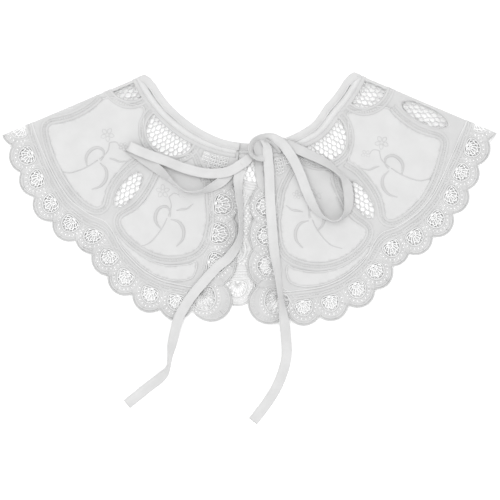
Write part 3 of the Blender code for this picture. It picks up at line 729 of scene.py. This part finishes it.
def layRibbon(loom, rows, turned):
    # a row may end with its own width; gives the ribbon's middle line and length
    rows = np.array(rows, float)
    if rows.shape[1] == 5:
        rows = np.column_stack((rows, np.full(len(rows), ribbon["width"])))
    x, y, low, heading, lift, wide = curveThrough(rows, 1.2).T
    heading, lift = np.radians(heading), np.radians(lift)
    middle = np.stack((x, y, low + (wide * np.sin(lift) + ribbon["thick"] * np.cos(lift)) / 2), 1)
    across = np.stack((np.cos(heading) * np.cos(lift), np.sin(heading) * np.cos(lift), np.sin(lift)), 1)
    ahead = unit(np.gradient(middle, axis=0))
    across = unit(across - ahead * (across * ahead).sum(1, keepdims=True))
    up = np.cross(ahead, across)
    up *= np.where(up[:, 2:].sum() < 0, -1, 1)
    share = np.array((-1, -0.93, -0.86, -0.5, 0, 0.5, 0.86, 0.93, 1))
    crown = ribbon["cup"] * (1 - share**2) + np.array((0, 0.06, -0.08, 0, 0, 0, -0.08, 0.06, 0))
    reach = np.concatenate((share, share[::-1]))[None] * wide[:, None] / 2
    height = np.concatenate((crown + ribbon["wall"] / 2, (crown - ribbon["wall"] / 2)[::-1]))
    skin = middle[:, None] + across[:, None] * reach[..., None] + up[:, None] * height[None, :, None]
    along = np.concatenate(([0], np.cumsum(np.linalg.norm(np.diff(middle, axis=0), axis=1))))
    first, sides = loom.count, len(height)
    loom.tube(skin, np.stack(np.broadcast_arrays(along[:, None], reach), -1), capped=False)
    share = np.repeat(along[:-1] / along[-1], sides)
    # faces within the turned share take the other side's finish, painted darker as painted shade
    loom.slots[-len(share):] = ((share >= turned[0]) & (share < turned[1])).astype(int).tolist()
    for n in range(len(crown) - 1):
        cap = [first + m for m in (n, n + 1, sides - 2 - n, sides - 1 - n)]
        loom.faces += [cap, [m + loom.count - sides - first for m in reversed(cap)]]
        loom.slots += [0, 0]
    return middle * mm, along[-1] * mm


def pieceName(node):
    first, *others = node.split("_")
    return first + "".join(word.capitalize() for word in others)


def placePiece(piece, node):
    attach(piece, "root")
    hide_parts(node)


def makeRibbons():
    looks = [finishes["ribbon"], finishes["ribbonBackPaintedShade"]]
    # over: the whole length in the other side's finish, painted darker as painted shade
    plain, over = (2, 2), (0, 2)
    for name, node, farEnd in (("loopLeft", "loop_left", "object"), ("loopRight", "loop_right", "object"),
                               ("tailLeft", "tail_left", "bare"), ("tailRight", "tail_right", "bare")):
        loom = Loom()
        route, length = layRibbon(loom, ribbon[name], ribbon["turned"].get(name, plain))
        piece = loom.write(name + "Ribbon", looks, [], np.array)
        placePiece(piece, node)
        tuple(route[0])
        [tuple(point) for point in route]
    loom = Loom()
    for number, turn in enumerate(ribbon["knot"]):
        layRibbon(loom, turn, plain if number < ribbon["rightSideUp"] else over)
    placePiece(loom.write("knotRibbon", looks, [], np.array), "knot")


makeRibbons()


# tape lace

tape = {
    "width": 6.6,
    "band": 2.3,  # each dense edge of the tape
    "seamCord": 0.42,
    "neckTape": (102.4, 3.4),  # radius of its line on the ring, and its width
    "neckSeam": (98.1, 5.0),
    "neckStitches": (96.2, 100.2),
    "low": -0.3,
    "top": 0.42,
    "rungPitch": 2.0,
    "rungRadius": 0.36,
    "groundLow": -0.36,
    "backLow": -0.7,
    "groundTop": 0.06,
    "groundSpacing": 3.0,
    "coverSeam": 0.5,  # how far a tape lies over the cloth inside it
    "underGrown": 0.8,  # how much wider the back's fan windows are
    "netThread": 0.27,
    "fanThread": 0.3,
    "brightThread": 0.4,  # of the fans on the fronts
    "netPitch": 3.9,
    "netLoop": 3.9,
    "rimThread": 0.16,
    "picot": 0.62,
    "picotPitch": 2.3,
    "hub": 1.5,  # reach of the knot where a fan's spokes meet
    "lightCord": 0.5,
    "trellis": 0.56,
    # eyelets where the back shows: x and y of the first, columns, rows
    "eyelets": ((-5.2, -4.5, 3, 7), (-8.0, -23.0, 3, 5), (-11.6, -36.0, 4, 8)),
    "eyelet": 0.85,
    "eyeletPitch": 2.6,
    "gap": (-17.0, 9.0),  # between which the back shows through the front opening
    "wobble": 0.1,  # unevenness of the netting, in loops
}
fanWindow = ((0, 0.9), (3.6, 0.9), (6.3, 2.6), (6.6, 6.4), (4.7, 10.6), (0, 12.9), (-4.7, 10.6), (-6.6, 6.4),
             (-6.3, 2.6), (-3.6, 0.9))


def weaveTape(loom, path):
    width, band = tape["width"], tape["band"]
    profile = bandProfile(band, tape["low"], tape["top"])
    path = evenly(path, 1.4)
    for side in (-1, 1):
        loom.sweep(beside(path, side * (width - band) / 2), profile)
    gap = width / 2 - band + 0.15
    spots = evenly(path, tape["rungPitch"])
    left = leftOf(spots)
    loom.bars(spots - left * gap, spots + left * gap, tape["rungRadius"], sides=5, height=-0.02)


def seamCord(loom, path):
    loom.sweep(path, roundProfile(tape["seamCord"]), closed=True, height=0.02, slot=1)


def netLoops(rows, columns, reach):
    # fish-scale loops in a grid: row k hangs from the middles of row k - 1
    loops = []
    arc = np.linspace(0, math.pi, 7)
    for row in range(rows):
        shift = 0.5 * (row % 2)
        for column in range(-columns, columns + 1):
            x = column + shift + 0.5 - 0.5 * np.cos(arc)
            y = row + np.sin(arc) ** 0.7
            loops.append(np.stack((x, y), 1))
    return [loop for loop in loops if reach(loop).any()]


def uneven(loop):
    x, y = loop[:, 0], loop[:, 1]
    shift = np.stack((np.sin(2.3 * x + 3.1 * y + 0.7), np.sin(3.4 * x - 2.1 * y + 1.9)), 1)
    return loop + tape["wobble"] * shift


def addNet(loom, place, rows, columns, reach):
    for number, loop in enumerate(netLoops(rows, columns, reach)):
        keep = reach(loop)
        first, last = np.argmax(keep), len(keep) - np.argmax(keep[::-1])
        loop = loop[first:last]
        if len(loop) < 2:
            continue
        height = -0.2 + 0.1 * (-1) ** number
        loom.sweep(place(uneven(loop)), roundProfile(tape["netThread"], 5), height=height, slot=1)


def almondNet(loom, place, turn, low):
    high, half = collar["almondHigh"], collar["almondHalf"] + 0.6
    wide, deep = tape["netPitch"], tape["netLoop"]

    def toRing(grid):
        radius = low - 1 + grid[:, 1] * deep
        return place(turn + np.degrees((grid[:, 0] - 0.25) * wide / radius), radius)

    def reach(grid):
        radius = low - 1 + grid[:, 1] * deep
        bulge = 1 - ((2 * radius - low - high) / (high - low + 2)) ** 2
        return (bulge > 0) & (np.abs(grid[:, 0] - 0.25) * wide < half * np.sqrt(np.maximum(bulge, 0)) + 0.5)

    addNet(loom, toRing, int((high - low) / deep) + 2, 4, reach)


def almondWindow(place, turn, low):
    high = collar["almondHigh"]
    angle = np.arange(36) / 36 * 2 * math.pi
    radius = (low + high) / 2 - (high - low) / 2 * np.cos(angle)
    return place(turn + np.degrees(collar["almondHalf"] * np.sin(angle) / radius), radius)


def crescentNet(loom, place, turn):
    low, half, thick = collar["crescentLow"] - 0.8, collar["crescentHalf"], collar["crescentDeep"]
    wide, deep = 1.95, tape["netLoop"]

    def toRing(grid):
        return place(turn + (grid[:, 0] - 0.25) * wide, low + grid[:, 1] * deep)

    def reach(grid):
        offset = (grid[:, 0] - 0.25) * wide / half
        return (offset**2 + (grid[:, 1] * deep / (thick + 0.8)) ** 2) < 1.06

    addNet(loom, toRing, 6, 7, reach)


def crescentWindow(place, turn):
    half, low, angle = collar["crescentHalf"], collar["crescentLow"], np.linspace(0, math.pi, 30)
    bottom = place(turn + half * np.cos(angle), low + collar["crescentDeep"] * np.sin(angle))
    return np.concatenate((bottom, place(turn + np.linspace(-1, 1, 14)[1:-1] * half, low)))


def crescentRing(loom, place, turn):
    angle = np.radians(np.linspace(-6, 186, 50))
    reach = tape["width"] / 2
    path = place(
        turn + (collar["crescentHalf"] + math.degrees(reach / 108)) * np.cos(angle),
        collar["crescentLow"] + (collar["crescentDeep"] + reach) * np.sin(angle),
    )
    weaveTape(loom, path)


def edgeTape(loom, outline, count):
    # tape round the first points of a window's outline, over its seam
    path = curveThrough(outline, 1.4, closed=True)
    side = -1 if turnedLeft(path) else 1
    around = beside(path, side * (tape["width"] / 2 - tape["coverSeam"]), closed=True)
    start, end = (int(np.argmin(np.linalg.norm(path - outline[n], axis=1))) for n in (0, count - 1))
    around = np.roll(around, -start, 0)[: (end - start) % len(path) or None]
    weaveTape(loom, relax(around, 6))
    seamCord(loom, path)


def outerCrossing(first, second, middle):
    (a, aRadius), (b, bRadius) = first, second
    apart = np.linalg.norm(b - a)
    along = (apart**2 + aRadius**2 - bRadius**2) / (2 * apart)
    across = math.sqrt(max(0.0, aRadius**2 - along**2))
    way = (b - a) / apart
    options = [a + way * along + np.array((-way[1], way[0])) * across * k for k in (-1, 1)]
    return max(options, key=lambda point: np.linalg.norm(point - middle))


def scallopArcs(circles, middle, start, end):
    # the outer side of each arc in a chain of them
    meets = [start] + [outerCrossing(a, b, middle) for a, b in zip(circles, circles[1:])] + [end]
    arcs = []
    for (centre, radius), *ends in zip(circles, meets, meets[1:]):
        out = math.atan2(*(centre - middle)[::-1])
        ends = [math.remainder(math.atan2(*(point - centre)[::-1]) - out, 2 * math.pi) for point in ends]
        angles = out + np.linspace(*ends, 26)
        arcs.append(centre + radius * np.stack((np.cos(angles), np.sin(angles)), 1))
    return arcs


def fanFrame(place, turn, radius, heading=0.0, scale=1.0):
    # places across and out of one scallop's hub, in the flat
    hub = place(turn, radius)
    out, across = unit(place(turn, radius + 1) - hub), unit(place(turn + 0.5, radius) - hub)
    cosine, sine = math.cos(math.radians(heading)), math.sin(math.radians(heading))
    out, across = out * cosine + across * sine, across * cosine - out * sine

    def inScallop(points):
        points = np.asarray(points, float) * scale
        return hub + points[..., :1] * across + points[..., 1:] * out

    return inScallop, scale


def grownWindow(distance, step=0.9):
    path = curveThrough(fanWindow, step, closed=True)
    return beside(path, (-1 if turnedLeft(path) else 1) * distance, closed=True)


def fanHole(inScallop, grown=0.0):
    return inScallop(grownWindow(grown, 1.1))


scallop = {
    "rim": 0.52,
    "rimInset": 0.55,
    "tick": 0.86,  # how much the rim narrows between its buttonhole stitches
    "line": 0.3,
    "lineInset": 2.1,
    "cords": ((0.3, 0.62), (1.75, 0.34), (4.1, 0.34)),  # distance out of the window, radius
    "rays": 24,
    "spokes": 11,
    "brightSpokes": 9,
    "netRings": ((0.34, 3), (0.7, 5)),  # share of the way out, waves
    "picotRing": 2.9,
}


def dressScallop(loom, arc, inScallop, scale, bright=False):
    hub = inScallop((0, 0))
    side = np.sign((leftOf(arc) * (hub - arc)).sum())
    foot = (arc[[0, -1]] - hub) * 0.5 + hub
    outer = evenly(np.concatenate((foot[:1], arc, foot[1:])), 0.7)
    stitches = np.where(np.arange(len(outer)) % 2, 1.0, scallop["tick"])
    loom.sweep(beside(outer, side * scallop["rimInset"]), roundProfile(scallop["rim"]), scale=stitches)
    line = beside(evenly(arc, 1.0), side * scallop["lineInset"])
    loom.sweep(line, roundProfile(scallop["line"], 5), slot=1, height=0.08)
    for grown, radius in scallop["cords"]:
        ring = inScallop(grownWindow(grown / scale))
        loom.sweep(ring, roundProfile(radius), closed=True, slot=1, height=0.04)
    rays = arc[(np.linspace(0.06, 0.94, scallop["rays"]) * (len(arc) - 1)).astype(int)] - hub
    loom.bars(hub + rays * 0.8, hub + rays * 0.95, tape["rimThread"], sides=4, slot=1, height=0.08)
    window = grownWindow(0.1, 0.6)
    window = window[window[:, 1] > 2.2]
    window = window[np.argsort(np.arctan2(window[:, 0], window[:, 1] - 1.0))]
    middle = np.array((0.0, 1.3))
    count = scallop["brightSpokes" if bright else "spokes"]
    ends = window[np.linspace(1, len(window) - 2, count).astype(int)]
    # the bright fans on the fronts take the picot finish for their threads and hub knot, painted light
    thread, slot = (tape["brightThread"], 3) if bright else (tape["fanThread"], 1)
    starts = inScallop(middle + (ends - middle) * 0.16)
    loom.bars(starts, inScallop(ends), thread, sides=5, slot=slot, height=0.1 if bright else -0.2)
    for share, waves in scallop["netRings"]:
        ring = middle + (window - middle) * share
        ring += (ring - middle) * 0.2 * np.abs(np.sin(np.linspace(0, waves * math.pi, len(ring))))[:, None]
        ring = evenly(inScallop(ring), 0.8)
        loom.sweep(ring, roundProfile(thread, 5), slot=slot, height=0.15 if bright else -0.12)
    loom.beads([inScallop(middle)], tape["hub"], slot=slot)
    ring = grownWindow(scallop["picotRing"] / scale, tape["picotPitch"] / scale)
    loom.beads(inScallop(ring[ring[:, 1] > 2.5]), tape["picot"], slot=3, height=tape["groundTop"])


def neckTapes(loom, place, first, last):
    turns = np.linspace(first, last, int(abs(last - first) * 1.2) + 2)
    for (radius, width), top, slot in ((tape["neckTape"], tape["top"], 0), (tape["neckSeam"], 0.16, 2)):
        loom.sweep(evenly(place(turns, radius), 1.4), bandProfile(width, tape["low"], top), slot=slot)
    stitches, (low, high) = np.linspace(first, last, int(abs(last - first) * 1.35)), tape["neckStitches"]
    loom.bars(place(stitches, low), place(stitches + 0.25, high), 0.3, sides=5, slot=2, height=0.06)


def petalOutline(place, first, second):
    # the cloth between two almonds
    shares, radii = np.array(sidePetal).T
    return place(first + shares * (second - first), radii)


def cellWindow(place, start, end, low, high):
    corners = [(start, low), (end, low), (end, high - 1.5), ((start + end) / 2, high), (start, high)]
    return evenly(place(*np.array(corners).T), 1.2, closed=True)


def cellNet(loom, place, start, end, low, high):
    # a little trellis, with beads in its holes in the picot finish, painted light
    turns, radii = np.linspace(start, end, 4)[1:-1], np.arange(low + 2.4, high - 1, 2.7)
    thread = tape["trellis"]
    loom.bars(place(turns, low - 0.5), place(turns, high - 0.4), thread, sides=6, slot=1, height=-0.1)
    loom.bars(place(start - 0.3, radii), place(end + 0.3, radii), thread, sides=6, slot=1, height=-0.1)
    rim = cellWindow(place, start, end, low, high)
    loom.sweep(rim, roundProfile(thread), closed=True, height=-0.1, slot=1)
    rows = np.append(radii - 1.3, radii[-1] + 1.3)
    columns, rows = np.meshgrid(start + (np.arange(3) + 0.5) * (end - start) / 3, rows)
    loom.beads(place(columns.ravel(), rows.ravel()), tape["picot"], slot=3, height=0.0)


def borderTapes(loom, place, line, first, last):
    turns = np.linspace(first, last, int(abs(last - first) * 1.5) + 2)
    weaveTape(loom, relax(place(turns, line(turns) + collar["borderTape"] / 2 + 0.2), 3))
    light = relax(place(turns, line(turns) - 0.5), 3)
    loom.sweep(evenly(light, 1.2), roundProfile(tape["lightCord"]), height=0.2, slot=1)


def addNets(loom, holes, place, turn, low, lead):
    almondNet(loom, place, turn, low)
    crescentNet(loom, place, turn + lead)
    crescentRing(loom, place, turn + lead)
    holes += [almondWindow(place, turn, low), crescentWindow(place, turn + lead)]


def underNets(loom, holes, side):
    # the almond and crescent nets of one side, the same in the front as in the back under it
    for almond, low in zip(collar["almonds"], collar["almondLows"]):
        addNets(loom, holes, frontPlace(side), almond, low, collar["crescentLead"])


def gentle(points):
    x, y = points[:, 0], points[:, 1]
    return 0.05 * np.sin(x / 9.1 + 1.3 * np.sin(y / 14.7)) * np.sin(y / 7.7 + 0.4)


def flatSize(outline):
    # depth and length along the middle of a piece of the ring, in metres
    offset = np.asarray(outline) - collar["ringCentre"]
    radius = np.linalg.norm(offset, axis=1)
    angle = np.unwrap(np.arctan2(offset[:, 0], -offset[:, 1]))
    return np.ptp(radius) * mm, np.ptp(angle) * (radius.max() + radius.min()) / 2 * mm


def declareSheet(piece, outline):
    size = flatSize(outline)
    min(piece["flatArea"], size[0] * size[1])


def laceLooks(under=False):
    names = ("tape", "thread", "seam", "picot")
    # the back takes finishes painted lighter as painted light: much lighter for its part under the fronts,
    # less for the gap
    if under:
        names = ("underTapePaintedLight", "underThreadPaintedLight", "underTapePaintedLight", "picot")
        names += ("backTape", "backThreadPaintedLight", "backTape", "picot")
    return [finishes[name] for name in names]


def eyelets(outline, loops):
    # those that lie inside the outline and clear of the loops
    angle = np.arange(8) / 8 * 2 * math.pi
    ring = np.stack((np.cos(angle), np.sin(angle)), 1) * tape["eyelet"]
    pitch, found = tape["eyeletPitch"], []
    for x, y, columns, rows in tape["eyelets"]:
        for row in range(rows):
            for column in range(columns):
                centre = np.array((x + (column + 0.5 * (row % 2)) * pitch, y - row * pitch * 0.87))
                near = min(np.linalg.norm(loop - centre, axis=1).min() for loop in [outline, *loops])
                within = [inside(centre[None], loop)[0] for loop in [outline, *loops]]
                if near > tape["eyelet"] + 0.8 and within[0] and not any(within[1:]):
                    found.append(ring + centre)
    return found


def showGap(piece):
    # the back's cloth between the fronts has its own finish, painted less light; the rest keeps those painted
    # much lighter, painted light where the fronts lie over it
    low, high = tape["gap"]
    for face in piece.data.polygons:
        if low < face.center.x / mm < high:
            face.material_index += 4


def heldBack(holes, sides, most):
    # the holes, ending before each fold
    kept = []
    for hole in holes:
        past = [np.maximum(0, pastFold(side, hole) - most) for side in sides]
        if all((far > 0).mean() < 0.85 for far in past):
            kept.append(hole - sum(foldNormal(side) * far[:, None] for side, far in zip(sides, past)))
    return kept


# the bias binding round the neckline

binding = {
    "profile": (
        (0.2, -0.66), (6.2, -0.66), (6.4, 0.1), (6.1, 0.8), (5.3, 1.0), (4.95, 0.74), (4.5, 1.05), (2.8, 1.5),
        (1.2, 1.3), (0.2, 0.7), (0, 0),
    ),
    "backShare": 0.5,  # height of the back's, of that of a front's
    "groove": (4.95, 0.78),  # distance from the neck, height of its stitches
    "stitchPitch": 2.2,
    "stitch": 0.16,
}


def makeBinding(node, start, end, cuts, bend, share=1.0):
    # angles fall from start to end, so that the profile opens away from the neck
    loom = Loom()
    path = evenly(neckArc(start, end, 0, 0.5), 1.2)
    profile = np.array(binding["profile"])
    profile[:, 1] = np.where(profile[:, 1] > 0, profile[:, 1] * share, profile[:, 1])
    ripple = 1 + 0.02 * np.sin(np.arange(len(path)) / 2.3) * np.sin(np.arange(len(path)) / 5.1 + 1)
    loom.sweep(path, profile, scale=ripple)
    out, height = binding["groove"]
    groove = beside(evenly(path, binding["stitchPitch"]), out)
    before, after = groove[:-1], groove[1:]
    loom.bars(before * 0.8 + after * 0.2, before * 0.25 + after * 0.75, binding["stitch"], sides=4,
              height=height * share)
    piece = loom.write(pieceName(node) + "Strip", [finishes["binding"]], cuts, bend)
    placePiece(piece, node)
    return piece


beyond = collar["foldAngle"] + collar["drawnBeyond"]
backCuts = [(side, collar["backEnd"]) for side in ("left", "right")]
leftStart, rightStart = (collar["frontOpening"][side] + collar["bindingStart"] for side in ("left", "right"))
strips = {
    "left": makeBinding("binding_front_left", -leftStart, -beyond, *frontShape("left")),
    "right": makeBinding("binding_front_right", beyond, rightStart, *frontShape("right")),
    "back": makeBinding("binding_back", beyond, -beyond, backCuts, backBend, binding["backShare"]),
}
print("binding made")


def makeFrontLace(side):
    place, work, holes = frontPlace(side), Loom(), []
    opening, sign = collar["frontOpening"][side], -1 if side == "left" else 1
    neckTapes(work, place, 2.2, beyond - opening)
    underNets(work, holes, side)
    turns, radii = np.array(frontPetal).T
    petals = {"front_petal_": place(turns, radii), "side_petal_": petalOutline(place, *collar["almonds"][:2])}
    edgeTape(work, np.roll(petals["front_petal_"], 5, 0), 27)
    edgeTape(work, petals["side_petal_"], 19)
    turns, radii = np.array(crescentInset).T
    petals["crescent_"] = place(turns, radii)
    seamCord(work, curveThrough(petals["crescent_"], 1.2, closed=True))
    for cell in topCells:
        holes.append(cellWindow(place, *cell))
        cellNet(work, place, *cell)
    borderTapes(work, place, edgeLine, 6.6, beyond - opening)
    circles, fans = [], []
    for (turn, radius, arc), fan in edgeScallops:
        circles.append((place(turn, radius), arc))
        fans.append(fanFrame(place, *fan))
    for turn in frontScallops():
        if turn + opening < beyond + 3:
            circles.append((place(turn, edgeLine(turn) + collar["scallopOut"]), collar["scallopArc"]))
            fans.append(fanFrame(place, turn, edgeLine(turn) + collar["borderTape"]))
    arcs = scallopArcs(circles, place(20, 144), place(1.2, 124), onRing(sign * (beyond + 2), 215))
    for arc, (inScallop, scale) in zip(arcs, fans):
        atFold = pastFold(side, inScallop((0, 6.5))) > -5
        dressScallop(work, arc, inScallop, scale, scale < 1.3)
        if not atFold:
            holes.append(fanHole(inScallop))
    start, clear = opening + collar["bindingStart"], collar["bindingWidth"] + collar["seam"]
    neck = neckArc(sign * beyond, sign * start, clear)
    outline = np.concatenate([neck, place([1.2], [118]), *(arc[:-1] for arc in arcs[:-1]), arcs[-1]])
    holes = heldBack(holes, [side], -0.6)
    windows = {name: curveThrough(shape, 1.6, closed=True) for name, shape in petals.items()}
    ground = Loom()
    ground.cloth(outline, holes + list(windows.values()), tape["groundLow"], tape["groundTop"],
                 tape["groundSpacing"], gentle)
    cuts, bend = frontShape(side)
    lace = ground.write("lace" + side.capitalize(), laceLooks(), cuts, bend)
    tapes = work.write("tapes" + side.capitalize(), laceLooks(), cuts, bend)
    for piece in (lace, tapes):
        placePiece(piece, "lace_front_" + side)
    declareSheet(lace, outline)
    for name, window in windows.items():
        makeInset(name + side, window, cuts, bend, side)


def makeBackLace():
    work, holes, circles, fans, windows = Loom(), [], [], [], {}
    beyond, last = collar["foldAngle"] + collar["backBeyond"], collar["backMiddle"]
    addNets(work, holes, backPlace("left"), last, collar["almondLows"][1], 0)
    for side in ("left", "right"):
        place, line = backPlace(side), backEdgeLine(side)
        full = 2 * collar["foldAngle"] - collar["frontOpening"][side]
        neckTapes(work, place, full - beyond, full)
        underNets(work, holes, side)
        middle, shoulder = (float(underFront(side, almond)) for almond in collar["almonds"][:2])
        shapes = {"1": petalOutline(place, middle, shoulder),
                  "2": petalOutline(place, middle, last - collar["crescentLead"])}
        for number, shape in shapes.items():
            edgeTape(work, shape, 19)
            back = np.maximum(0, pastFold(side, shape) + 4.0)
            windows[f"back_petal_{side}_{number}"] = shape - foldNormal(side) * back[:, None]
        borderTapes(work, place, line, full - beyond, last + 0.5)
        turns = [turn for turn in backScallops(side) if full - turn < beyond + 4]
        if side == "right":
            turns = turns[-2::-1]
        for turn in turns:
            circles.append((place(turn, line(turn) + collar["scallopOut"]), collar["scallopArc"]))
            fans.append(fanFrame(place, turn, line(turn) + collar["borderTape"]))
    centre = np.array(collar["ringCentre"])
    arcs = scallopArcs(circles, centre, onRing(-beyond - 2, 212), onRing(beyond + 2, 207))
    for arc, (inScallop, scale) in zip(arcs, fans):
        dressScallop(work, arc, inScallop, scale)
        holes.append(fanHole(inScallop, tape["underGrown"]))
    neck = neckArc(beyond, -beyond, collar["bindingWidth"] + collar["seam"])
    outline = np.concatenate([neck, *(arc[:-1] for arc in arcs[:-1]), arcs[-1]])
    holes = heldBack(holes, ["left", "right"], -1.4)
    windows = {name: evenly(shape, 1.6, closed=True) for name, shape in windows.items()}
    ground = Loom()
    holes += list(windows.values())
    holes += eyelets(outline, holes)
    ground.cloth(outline, holes, tape["backLow"], tape["groundTop"], tape["groundSpacing"], gentle)
    lace = ground.write("laceBack", laceLooks(True), backCuts, backBend)
    tapes = work.write("tapesBack", laceLooks(True), backCuts, backBend)
    for piece in (lace, tapes):
        showGap(piece)
        placePiece(piece, "lace_back")
    declareSheet(lace, outline)
    for name, window in windows.items():
        makeInset(name, window, [], backBend, None, eyelets(window, []))


# cloth petals and their embroidery

inset = {
    "low": -0.68,
    "top": 0.04,
    "spacing": 2.6,
    "pucker": 0.1,
}
# for each front's two petals: where the stems meet, and how far the spray is turned
sprays = {
    "front_petal_left": ((-65.9, -15.5), 0), "side_petal_left": ((-121.4, 30.9), -30),
    "front_petal_right": ((50.1, -16.6), 0), "side_petal_right": ((113.4, 24.6), 30),
}
# points of each stroke from there, and its width at each, on the left
strokes = (
    (((0, 0), (-3.2, -6.5), (-8.5, -14), (-15, -20.2), (-24, -23)), (0.9, 1.0, 1.0, 0.9, 0.6)),
    (((3, -0.8), (9.5, -3.0), (13.2, -9), (12.6, -16.5), (7.6, -22.4)), (0.8, 2.4, 2.9, 2.1, 0.6)),
    (((-4.2, -9), (-8.6, -3.4), (-9.2, 2.4), (-6.2, 8), (-0.6, 9.4), (2.6, 5.4), (2.4, 1)),
     (0.7, 2.4, 3.0, 2.6, 2.1, 1.2, 0.6)),
    (((7.6, 6.2), (11.6, 7.2), (16, 7.8), (21, 11.6)), (0.6, 1.7, 1.5, 0.5)),
    (((1, 1.5), (3.4, 9.8), (1.4, 17)), (0.7, 0.8, 0.6)),
    (((1.4, 17), (5.4, 20), (9.4, 18.6)), (0.6, 0.7, 0.6)),
)
blossoms = ((-3.4, 21.6, 5.6), (12.4, 19.8, 3.8))  # across, up, reach
blossomPetal = ((0.2, 0), (0.6, 0.28), (1, 0), (0.6, -0.28))  # out and across, as shares of the reach


def embroider(loom, node, side):
    (x, y), turned = sprays[node]
    sign = 1 if side == "left" else -1
    cosine, sine = math.cos(math.radians(turned)), math.sin(math.radians(turned))

    def toCloth(points):
        across, up = (np.asarray(points, float) * (sign, 1)).T
        return np.stack((across * cosine - up * sine + x, across * sine + up * cosine + y), 1)

    profile = np.array((
        (-0.5, -0.25), (0.5, -0.25), (0.46, 0.02), (0.22, 0.14), (-0.22, 0.14), (-0.46, 0.02),
    ))
    for points, widths in strokes:
        rows = curveThrough(np.column_stack((points, widths)), 0.8)
        path = toCloth(rows[:, :2])
        # satin stitches in a finish painted darker as painted shade
        loom.sweep(path, profile * (1, 1.1), scale=rows[:, 2], height=inset["top"] + 0.12, slot=1)
    for across, up, reach in blossoms:
        for petal in range(5):
            angle = math.radians(72 * petal + 18)
            out = np.array((math.cos(angle), math.sin(angle)))
            loop = [(out * far + (-out[1], out[0]) * np.array(aside)) * reach for far, aside in blossomPetal]
            path = toCloth(curveThrough(np.array(loop) + (across, up), 0.7, closed=True))
            loom.sweep(path, profile * 0.5, closed=True, height=inset["top"] + 0.02, slot=1)


def puckered(points):
    x, y = points[:, 0], points[:, 1]
    folds = np.sin(x / 4.3 + 1.7 * np.sin(y / 9.0)) + np.sin(y / 3.9 - 1.2 * np.sin(x / 8.0))
    return inset["pucker"] * folds / 2 + gentle(points)


def makeInset(node, window, cuts, bend, side, holes=()):
    loom = Loom()
    loom.cloth(window, holes, inset["low"], inset["top"], inset["spacing"], puckered)
    # the back's petals take a lawn painted lighter, as painted light
    looks = [finishes["lawn" if side else "backLawn"], finishes["satin"]]
    name = pieceName(node)
    piece = loom.write(name + "Cloth", looks, cuts, bend)
    placePiece(piece, node)
    extra = []
    if node in sprays:
        stitched = Loom()
        embroider(stitched, node, side)
        extra.append(stitched.write(name + "Spray", looks, cuts, bend))
        placePiece(extra[0], node)
    declareSheet(piece, window)


makeBackLace()
for side in ("left", "right"):
    makeFrontLace(side)
print("lace made")
